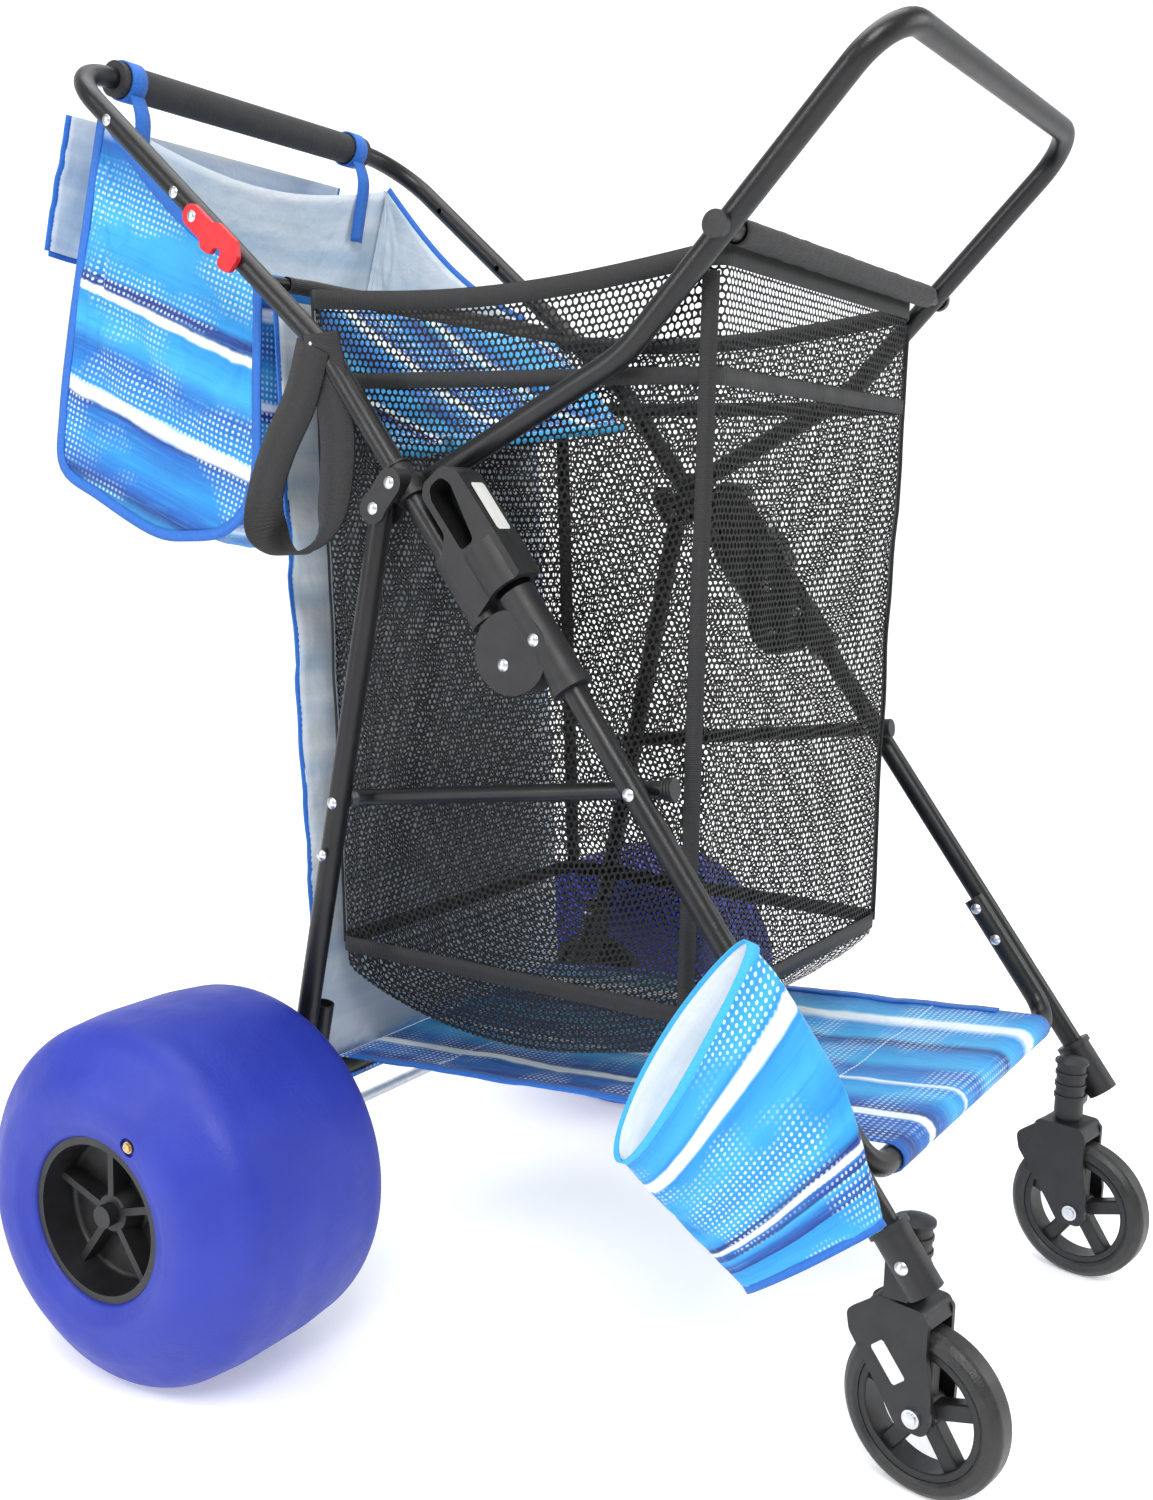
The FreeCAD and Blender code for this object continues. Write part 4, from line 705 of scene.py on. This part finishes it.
def make_storage_bag():
    """Printed tote: one long panel for front, floor and back, two side panels and navy bound edges."""
    path = bag_path(0.0)

    def main_point(u, v):
        base = along(path, v)
        middle = math.sin(math.pi * u)
        x = (2 * u - 1) * BAG_HALF
        droop = -BAG_MOUTH_DROOP * middle * max(0.0, (v - 0.80) / 0.20) ** 1.5
        belly = -BAG_BELLY * middle * math.sin(math.pi * min(1.0, v * 1.6)) if v < 0.62 else 0.0
        fold = crumple(u * 2.2, v * 5.0, 11.0, 0.010) * min(1.0, 6 * middle) * math.sin(math.pi * v)
        return base + Vector((x, 0.5 * fold, droop + belly + 0.6 * fold))

    panel = sheet_piece("bag_panel", main_point, 60, 90, [BACK, PRINT_BAG], "handle_frame")
    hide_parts("storage_bag")
    sides = [make_bag_side(name, side) for name, side in SIDES]
    for piece in [panel, *sides, make_bag_binding(), make_bag_loops()]:
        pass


def bag_side_point(side, u, v):
    """Side panel: u runs from its front top corner to its back one, v from its top edge to the seam."""
    seam = along(bag_path(side * BAG_HALF), u)
    first = spot(side * BAG_HALF, *BAG_SIDE[0])
    last = spot(side * BAG_HALF, *BAG_SIDE[-1])
    top = first.lerp(last, u)
    slack = math.sin(math.pi * v) * math.sin(math.pi * u)
    fold = crumple(u * 3.0, v * 2.0, 21.0 + side, 0.012) * slack
    droop = -SIDE_DROOP * (1 - v) * math.sin(math.pi * u)
    return top.lerp(seam, v) + Vector((side * (SIDE_BULGE * slack + min(SIDE_BULGE, fold)), 0, droop))


def make_bag_side(name, side):
    """Side panel with its print outside and its pale reverse inside."""
    materials = [PRINT_SIDE, BACK] if side < 0 else [BACK, PRINT_SIDE]
    piece = sheet_piece("bag_side_" + name, lambda u, v: bag_side_point(side, u, v), 60, 36,
                        materials, "handle_frame")
    set_side_uv(piece)
    return piece


def set_side_uv(piece):
    """UVs in metres on a plane facing X, tilted so that the printed bands rise towards the back."""
    tilt = math.radians(BAND_TILT)
    layer = piece.data.uv_layers.active.data
    for loop in piece.data.loops:
        point = piece.data.vertices[loop.vertex_index].co
        behind = point.y - PIVOT.y
        layer[loop.index].uv = (behind * math.cos(tilt) + point.z * math.sin(tilt),
                                point.z * math.cos(tilt) - behind * math.sin(tilt))


def turn_uv(piece, degrees):
    """Turn a sheet's UVs, so that its print runs on the slant."""
    turn = Matrix.Rotation(math.radians(degrees), 2)
    for corner in piece.data.uv_layers.active.data:
        corner.uv = turn @ corner.uv


def make_bag_binding():
    """Navy tape over each side's seam and along its top edge."""
    bm = bmesh.new()
    for _, side in SIDES:
        out = Vector((side, 0, 0))
        seam = [point + out * 0.0015 for point in bag_path(side * BAG_HALF)]
        add_tape(bm, seam, out, 0.010)
        edge = [bag_side_point(side, k / 40, 0.0) + out * PROUD for k in range(41)]
        add_tape(bm, edge, out, 0.012)
    return cloth_object("bag_binding", bm, [NAVY_TAPE], "handle_frame", 0.0)


def make_bag_loops():
    """Cloth bands round the grip, each with a tail sewn down the inside of the bag's back."""
    low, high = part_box("foam_grip")
    reach = (high[2] - low[2]) / 2 + PROUD
    ways = [Vector((0, math.cos(k * math.pi / 12), math.sin(k * math.pi / 12))) for k in range(24)]
    tail = ((-0.0125, -0.0135), (-0.0190, -0.030), (-0.0195, -0.045), (-0.0150, -0.070), (-0.0100, -0.098))
    bm = bmesh.new()
    for _, side in SIDES:
        middle = Vector((side * LOOP_X, 0, 0)) + node_middle("foam_grip")
        add_tape(bm, [middle + way * reach for way in ways], ways, LOOP_WIDTH, closed=True)
        down = smooth_path([middle + Vector((0, y, z)) for y, z in tail], 5)
        add_tape(bm, down, Vector((0, -1, 0)), LOOP_WIDTH)
    loops = cloth_object("bag_loops", bm, [NAVY_TAPE], "handle_frame", 0.0)
    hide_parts("bag_rings")
    return loops


def make_rear_flap():
    """Loose flap that hangs behind the grip, its print to the rear."""
    def point_at(u, v):
        x = (2 * u - 1) * FLAP_HALF
        base = spot(x, 0.546, 1.050).lerp(spot(x, 0.574, 0.918), v)
        wave = 0.010 * math.sin(u * 9.0 + v * 2.0) * v + crumple(u * 4, v * 2, 31.0, 0.008) * v
        lift = 0.012 * (2 * u - 1) ** 2 * v
        return base + Vector((0, max(-0.010, min(0.006, wave)), lift))

    flap = sheet_piece("rear_flap_cloth", point_at, 60, 26, [PRINT_BAG, BACK], "handle_frame")
    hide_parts("bag_rear_flap")
    bm = bmesh.new()
    behind = Vector((0, 1, 0))
    foot = [(k / 40, 1.0) for k in range(41)]
    ends = [[(end, k / 20) for k in range(21)] for end in (0.0, 1.0)]
    for line in [foot] + ends:
        add_tape(bm, [point_at(u, v) + behind * 0.0014 for u, v in line], behind, 0.010)
    hem = cloth_object("rear_flap_hem", bm, [NAVY_TAPE], "handle_frame", 0.0)


def front_flap_point(u, v):
    """Tongue-shaped flap turned down inside the basket, rippled towards its lower edge."""
    spread = FLAP_HALF - 0.024 * v ** 2
    x = (2 * u - 1) * spread
    low = spot(x, 0.196 - 0.040 * u, 0.742 + 0.040 * u)
    base = spot(x, 0.246, 0.870).lerp(low, v)
    ripple = 0.007 * math.sin(math.tau * (2.5 * u + 0.4 * v)) * v
    return base + Vector((0, ripple + crumple(u * 4, v * 3, 41.0, 0.010) * v, 0))


def make_front_flap():
    """Front flap with the print on both sides, a hem along its foot and two rows of stitches."""
    flap = sheet_piece("front_flap_cloth", front_flap_point, 70, 30, [PRINT_FLAP, PRINT_FLAP],
                       "handle_frame")
    turn_uv(flap, FLAP_TURN)
    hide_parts("bag_front_flap")
    bm = bmesh.new()
    edge = [front_flap_point(k / 50, 1.0) + Vector((0, -0.0014, 0)) for k in range(51)]
    add_tape(bm, edge, Vector((0, -1, 0)), 0.009)
    hem = cloth_object("front_flap_hem", bm, [CYAN_TAPE], "handle_frame", 0.0)
    bm = bmesh.new()
    clear = Vector((-0.0012, -0.0016, 0))
    for share in (0.955, 0.915):
        row = [front_flap_point(k / 50, share) + clear for k in range(51)]
        add_stitches(bm, row, Vector((-0.4, -1, 0)))
    seam = cloth_object("front_flap_stitches", bm, [WHITE_TAPE], "handle_frame", 0.0)


# ---------------------------------------------- shelf, rear panel, strap and pouch

TUBE_RADIUS = 0.0095
SHELF_HALF = 0.187
SHELF_WRAP = 0.0113
PANEL_HALF = 0.198
EDGE_TAPE = 0.014


def shelf_bars():
    """Centres of the shelf's two cross bars, from the lowest parts of their tubes."""
    front_low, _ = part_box("shelf_front_tube")
    rear_low, rear_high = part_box("shelf_rear_tube")
    front = Vector((0, front_low[1] + TUBE_RADIUS, front_low[2] + TUBE_RADIUS))
    rear = Vector((0, rear_high[1] - TUBE_RADIUS, rear_low[2] + TUBE_RADIUS))
    return front, rear


def make_shelf():
    """Printed panel stretched between the two bars, sewn round each, dipping a little in the middle."""
    front, rear = shelf_bars()
    run = (rear - front).normalized()
    up = Vector((0, -run.z, run.y))

    def around(centre, degrees):
        angle = math.radians(degrees)
        return centre + (up * math.cos(angle) + run * math.sin(angle)) * SHELF_WRAP

    path = [around(front, a) for a in range(-250, 1, 25)]
    path += [around(front, 0).lerp(around(rear, 0), k / 30) for k in range(1, 30)]
    path += [around(rear, a) for a in range(0, 251, 25)]
    lengths = travelled(path)
    total = lengths[-1]

    def point_at(u, v):
        base = along_distance(path, lengths, v * total)
        slack = math.sin(math.pi * max(0.0, min(1.0, (v - 0.09) / 0.82)))
        dip = -0.007 * slack * math.sin(math.pi * u)
        fold = crumple(u * 3, v * 4, 51.0, 0.003) * slack
        return base + Vector(((2 * u - 1) * SHELF_HALF, 0, dip + fold))

    shelf = sheet_piece("shelf_panel", point_at, 50, 110, [PRINT_SHELF, BACK], "front_frame")
    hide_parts("shelf_cloth")
    bm = bmesh.new()
    for _, side in SIDES:
        edge = [point_at(0.5 + side * 0.49, k / 80) + up * 0.0013 for k in range(11, 70)]
        add_tape(bm, edge, up, EDGE_TAPE)
    hem = cloth_object("shelf_hem", bm, [NAVY_TAPE], "front_frame", 0.0)
    bm = bmesh.new()
    for share in (0.235, 0.765):
        add_stitches(bm, [point_at(k / 50, share) + up * 0.0009 for k in range(51)], up)
    seam = cloth_object("shelf_stitches", bm, [WHITE_TAPE], "front_frame", 0.0)
    for piece in (shelf, hem, seam):
        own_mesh(piece)


def make_rear_panel():
    """Printed back panel between the shelf's rear bar and the basket's rear bar."""
    _, shelf_bar = shelf_bars()
    top_bar = node_middle("basket_rear_bar")
    low = shelf_bar + Vector((0, 0.014, 0.006))
    high = top_bar + Vector((0, 0.011, -0.012))

    def point_at(u, v):
        slack = math.sin(math.pi * v)
        fold = crumple(u * 3, v * 4, 61.0, 0.005) * slack
        bulge = 0.003 * slack * math.sin(math.pi * u)
        return high.lerp(low, v) + Vector(((2 * u - 1) * PANEL_HALF, bulge + fold, 0))

    panel = sheet_piece("rear_panel_cloth", point_at, 50, 80, [PRINT_PANEL, BACK], None)
    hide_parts("rear_panel")
    behind = Vector((0, 1, 0))
    bm = bmesh.new()
    for _, side in SIDES:
        edge = [point_at(0.5 + side * 0.492, k / 60) + behind * 0.0013 for k in range(61)]
        add_tape(bm, edge, behind, EDGE_TAPE)
    hem = cloth_object("rear_panel_hem", bm, [NAVY_TAPE], None, 0.0)
    for piece in (panel, hem):
        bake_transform(piece)


STRAP_WIDTH = 0.036
STRAP_KNOTS = [
    (-0.2525, 0.186, 0.836), (-0.2470, 0.184, 0.812), (-0.2425, 0.178, 0.770), (-0.2405, 0.178, 0.730),
    (-0.2400, 0.186, 0.690), (-0.2400, 0.208, 0.664), (-0.2400, 0.236, 0.657), (-0.2402, 0.256, 0.676),
    (-0.2405, 0.257, 0.706), (-0.2420, 0.240, 0.745), (-0.2450, 0.214, 0.785), (-0.2500, 0.196, 0.826)
]


def make_strap():
    """Webbing loop round the right handle tube, hanging open with a soft twist at its foot."""
    path = smooth_path([spot(*knot) for knot in STRAP_KNOTS], 8)
    bm = bmesh.new()
    facing = []
    last = len(path) - 1
    for i in range(len(path)):
        run = (path[min(i + 1, last)] - path[max(i - 1, 0)]).normalized()
        turned = math.exp(-((i / last - 0.53) / 0.13) ** 2)
        facing.append(Vector((-1, 0, 0)).lerp(Vector((1, 0, 0)).cross(run), turned).normalized())
    add_tape(bm, path, facing, STRAP_WIDTH, 0.0018)
    strap = cloth_object("strap_webbing", bm, [BLACK_TAPE], "handle_frame", 0.0)
    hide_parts("carry_strap")
    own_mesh(strap)


LEG_TILT = math.radians(52.5)
LEG_AHEAD = 0.0354
POUCH_MOUTH = 0.3226
POUCH_SLANT = 0.0399
POUCH_LIP_DROP = 0.023
POUCH_FLOOR = 0.491
POUCH_STEPS = 72


def leg_point(x, down, behind):
    """A point measured down the right front leg's axis from beside the pivot, and behind it."""
    way_down = Vector((0, -math.cos(LEG_TILT), -math.sin(LEG_TILT)))
    way_back = Vector((0, math.sin(LEG_TILT), -math.cos(LEG_TILT)))
    point = PIVOT + way_down * down + way_back * (behind - LEG_AHEAD)
    return Vector((x, point.y, point.z))


def pouch_point(u, v):
    """Oval cup: u goes round, v from the slanted mouth to the floor's edge."""
    angle = math.tau * u
    behind_share = math.cos(angle)
    mouth = POUCH_MOUTH + POUCH_SLANT * behind_share - POUCH_LIP_DROP * math.sin(angle)
    down = mouth + (POUCH_FLOOR - mouth) * v
    place = (down - 0.270) / 0.223
    centre = 0.0640 - 0.0180 * place
    long_half = 0.1090 - 0.0480 * place
    short_half = 0.0302 - 0.0150 * place
    dent = crumple(math.cos(angle) * 2.0, v * 2.0 + math.sin(angle), 71.0, 0.005) * math.sin(math.pi * v)
    x = -0.2850 + 0.0115 * place + math.sin(angle) * (short_half + min(dent, 0.0005))
    bulge = 0.018 * max(0.0, -behind_share) * math.sin(math.pi * v)
    return leg_point(x, down, centre + behind_share * (long_half + bulge + min(dent, 0.001)))


def make_pouch():
    """Printed tapered cup with a pale lining, bound mouth and a stitched floor."""
    materials = [PRINT_POUCH, BACK]
    walls = sheet_piece("pouch_walls", pouch_point, POUCH_STEPS, 40, materials, "front_frame")
    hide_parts("drink_pouch")
    floor = sheet_piece("pouch_floor", pouch_floor_point, POUCH_STEPS, 8, materials, "front_frame")
    hem = pouch_band("pouch_hem", 0.012, 0.010, CYAN_TAPE)
    seam = pouch_band("pouch_floor_seam", 0.985, 0.006, NAVY_TAPE)


def pouch_band(name, share, width, material):
    """Tape round the pouch, a share of the way down its walls."""
    ring = [pouch_point(k / POUCH_STEPS, share) for k in range(POUCH_STEPS)]
    middle = sum(ring, Vector()) / POUCH_STEPS
    ways = [(point - middle).normalized() for point in ring]
    bm = bmesh.new()
    add_tape(bm, [point + way * PROUD for point, way in zip(ring, ways)], ways, width, closed=True)
    return cloth_object(name, bm, [material], "front_frame", 0.0)


def pouch_floor_point(u, v):
    """Floor of the pouch: u goes round, v from near its middle out to the walls."""
    rim = pouch_point(u, 1.0)
    centre = leg_point(-0.2736, POUCH_FLOOR, 0.0462)
    return centre.lerp(rim, 0.04 + 0.96 * v)


# ---------------------------------------------- blank labels

def make_labels():
    """Blank label strip on the front of each lock sleeve and on the right caster's fork."""
    ahead = Vector((0, -math.sin(HANDLE_TILT), math.cos(HANDLE_TILT)))
    up = Vector((0, math.cos(HANDLE_TILT), math.sin(HANDLE_TILT)))
    for name, side in SIDES:
        middle = PIVOT + up * 0.110 + ahead * 0.0563 + Vector((side * HANDLE_X, 0, 0))
        label = flat_label("sleeve_label_" + name, middle, up * 0.022, Vector((0.0085, 0, 0)), ahead)
        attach(label, "lock_" + name)
    swivel = Matrix.Rotation(math.radians(-9.5), 3, "Z")
    foot = Vector(JOINTS["caster_swivel_right"]["pos_m"])
    middle = Vector((foot.x, foot.y, 0)) + swivel @ Vector((-0.0201, 0.004, 0.099))
    sticker = flat_label("fork_label", middle, swivel @ Vector((0, 0.0102, 0.0118)),
                         swivel @ Vector((0, -0.0047, 0.0041)), swivel @ Vector((-1, 0, 0)))
    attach(sticker, "caster_swivel_right")


def flat_label(name, middle, half_long, half_wide, outward):
    """A thin label with clipped corners."""
    bm = bmesh.new()
    outline = ((-1, -0.8), (-0.9, -1), (0.9, -1), (1, -0.8), (1, 0.8), (0.9, 1), (-0.9, 1), (-1, 0.8))
    top = [bm.verts.new(middle + half_long * a + half_wide * b + outward * 0.0004) for a, b in outline]
    low = [bm.verts.new(middle + half_long * a + half_wide * b) for a, b in outline]
    bm.faces.new(top)
    bm.faces.new(low[::-1])
    for i in range(8):
        bm.faces.new([top[i], low[i], low[(i + 1) % 8], top[(i + 1) % 8]])
    bmesh.ops.recalc_face_normals(bm, faces=bm.faces)
    return cloth_object(name, bm, [LABEL], None, 0.0)


# ---------------------------------------------- materials on the CAD nodes

def paint_frame():
    """Give every CAD node its material, by what the record says it is made of."""
    finishes = {
        "frame_black": powder_coat(),
        "moulded_black": moulded("black_plastic", rgb(0.007, 0.007, 0.008), rgb(0.022, 0.022, 0.023),
                                 0.36, 0.22),
        "rivet_steel": bright_steel("rivet_steel", rgb(0.78, 0.79, 0.81), 0.18),
        "axle_steel": bright_steel("axle_steel", rgb(0.72, 0.73, 0.75), 0.22),
        "foam_black": grip_foam(),
        "hook_red": moulded("red_plastic", rgb(0.62, 0.012, 0.020), rgb(0.75, 0.05, 0.05),
                            0.26, 0.18, 0.00008),
        "tyre_blue": balloon_rubber(),
        "tread_black": tread_rubber(),
        "valve_brass": valve_brass(),
    }
    for part in frame["record"]["subparts"]:
        material = finishes.get(part["material_slot"])
        if material:
            mesh = frame["nodes"][part["node"]].data
            mesh.materials.clear()
            mesh.materials.append(material)


# ---------------------------------------------- studio

FLOOR_PROFILE = [(-6.0, 0.0), (3.2, 0.0), (3.9, 0.08), (4.5, 0.35), (4.9, 0.9), (5.0, 1.8), (5.0, 6.0)]
DOME_RADIUS = 14.0


def add_area_light(name, place, target, size, power):
    """A rectangular lamp at a place, turned to its target."""
    light = bpy.data.lights.new(name, "AREA")
    light.shape = "RECTANGLE"
    light.size, light.size_y = size
    light.energy = power
    obj = add_object(name, light)
    obj.location = place
    obj.rotation_euler = (Vector(target) - Vector(place)).to_track_quat("-Z", "Y").to_euler()


def make_floor():
    """Pale seamless floor that curves up far behind the cart."""
    bm = bmesh.new()
    turn = Matrix.Rotation(VIEW_AZIMUTH, 3, "Z")
    rows = []
    for y, z in FLOOR_PROFILE:
        rows.append([bm.verts.new(turn @ Vector((x, y, z))) for x in (-9.0, -3.0, 3.0, 9.0)])
    for near, far in zip(rows, rows[1:]):
        for i in range(3):
            bm.faces.new([near[i], near[i + 1], far[i + 1], far[i]]).smooth = True
    s = Shader("studio_floor")
    pale = s.mix(s.noise(s.place(), 3.0), rgb(0.90, 0.90, 0.90), rgb(0.87, 0.87, 0.88))
    material = s.finish(pale, 0.7, Emission_Color=rgb(1.0, 1.0, 1.0), Emission_Strength=0.32)
    cloth_object("studio_floor", bm, [material], None, 0.0)


def make_backdrop():
    """Pale dome round the floor, seen by the camera alone, so that it adds no light."""
    bm = bmesh.new()
    bmesh.ops.create_uvsphere(bm, u_segments=48, v_segments=24, radius=DOME_RADIUS)
    material = Shader("studio_backdrop").finish(rgb(0, 0, 0), 1.0, Emission_Color=rgb(1.0, 1.0, 1.0),
                                                Emission_Strength=0.9)
    dome = cloth_object("studio_backdrop", bm, [material], None, 0.0)
    for ray in ("diffuse", "glossy", "transmission", "shadow"):
        setattr(dome, "visible_" + ray, False)


def make_lights():
    """Soft white lamps in an even, pale world."""
    world = bpy.data.worlds.new("studio")
    bpy.context.scene.world = world
    world.use_nodes = True
    background = world.node_tree.nodes["Background"]
    background.inputs["Color"].default_value = (0.96, 0.98, 1.0, 1)
    background.inputs["Strength"].default_value = 0.5
    add_area_light("key", (-2.4, -1.6, 3.0), (0, 0, 0.5), (1.4, 1.4), 85)
    add_area_light("strip", (-2.6, 1.2, 1.6), (0, 0, 0.6), (0.4, 2.2), 34)
    add_area_light("fill", (1.8, -2.8, 1.8), (0, 0, 0.5), (1.6, 2.0), 40)
    add_area_light("top", (0.2, 0.4, 3.4), (0, 0, 0.4), (2.4, 2.4), 60)
    bpy.context.scene.view_settings.view_transform = "Standard"


def make_camera():
    """The view from the cart's right front, near enough for strong perspective."""
    elevation = math.radians(8.84)
    roll = math.radians(1.64)
    level = math.cos(elevation)
    back = Vector((math.sin(VIEW_AZIMUTH) * level, -math.cos(VIEW_AZIMUTH) * level, math.sin(elevation)))
    right = Vector((0, 0, 1)).cross(back).normalized()
    up = back.cross(right)
    turned_right = right * math.cos(roll) + up * math.sin(roll)
    turned_up = up * math.cos(roll) - right * math.sin(roll)
    lens = bpy.data.cameras.new("camera")
    lens.sensor_width = 36.0
    lens.lens = 38.72
    camera = add_object("camera", lens)
    turn = Matrix((turned_right, turned_up, back)).transposed().to_4x4()
    camera.matrix_world = Matrix.Translation((-1.2745, PIVOT.y - 0.7026, 0.7094)) @ turn
    bpy.context.scene.camera = camera


PRINT_BAG = printed_cloth("print_bag", BAG_BANDS, 0.30, 0.10)
PRINT_SIDE = printed_cloth("print_side", BAG_BANDS, 0.333, 0.5075, 0.03)
PRINT_FLAP = printed_cloth("print_flap", BAG_BANDS, 0.26, 0.30)
PRINT_SHELF = printed_cloth("print_shelf", SHELF_BANDS, 0.374, 0.0, 0.02, along_u=True)
PRINT_PANEL = printed_cloth("print_panel", BAG_BANDS, 0.34, 0.0)
PRINT_POUCH = printed_cloth("print_pouch", POUCH_BANDS, 0.185, 0.0, 0.03)
BACK = cloth_back()
BLACK_TAPE = plain_cloth("black_tape", rgb(0.005, 0.005, 0.006), rgb(0.015, 0.015, 0.016))
NAVY_TAPE = plain_cloth("navy_tape", rgb(0.010, 0.10, 0.45), rgb(0.018, 0.17, 0.60))
CYAN_TAPE = plain_cloth("cyan_tape", rgb(0.03, 0.36, 0.74), rgb(0.05, 0.48, 0.84))
WHITE_TAPE = plain_cloth("white_tape", rgb(0.66, 0.76, 0.84), rgb(0.82, 0.88, 0.92))
LABEL = blank_label()

make_camera()
make_lights()
make_floor()
make_backdrop()
paint_frame()
make_basket()
make_basket_sleeves()
make_storage_bag()
make_rear_flap()
make_front_flap()
make_shelf()
make_rear_panel()
make_strap()
make_pouch()
make_labels()
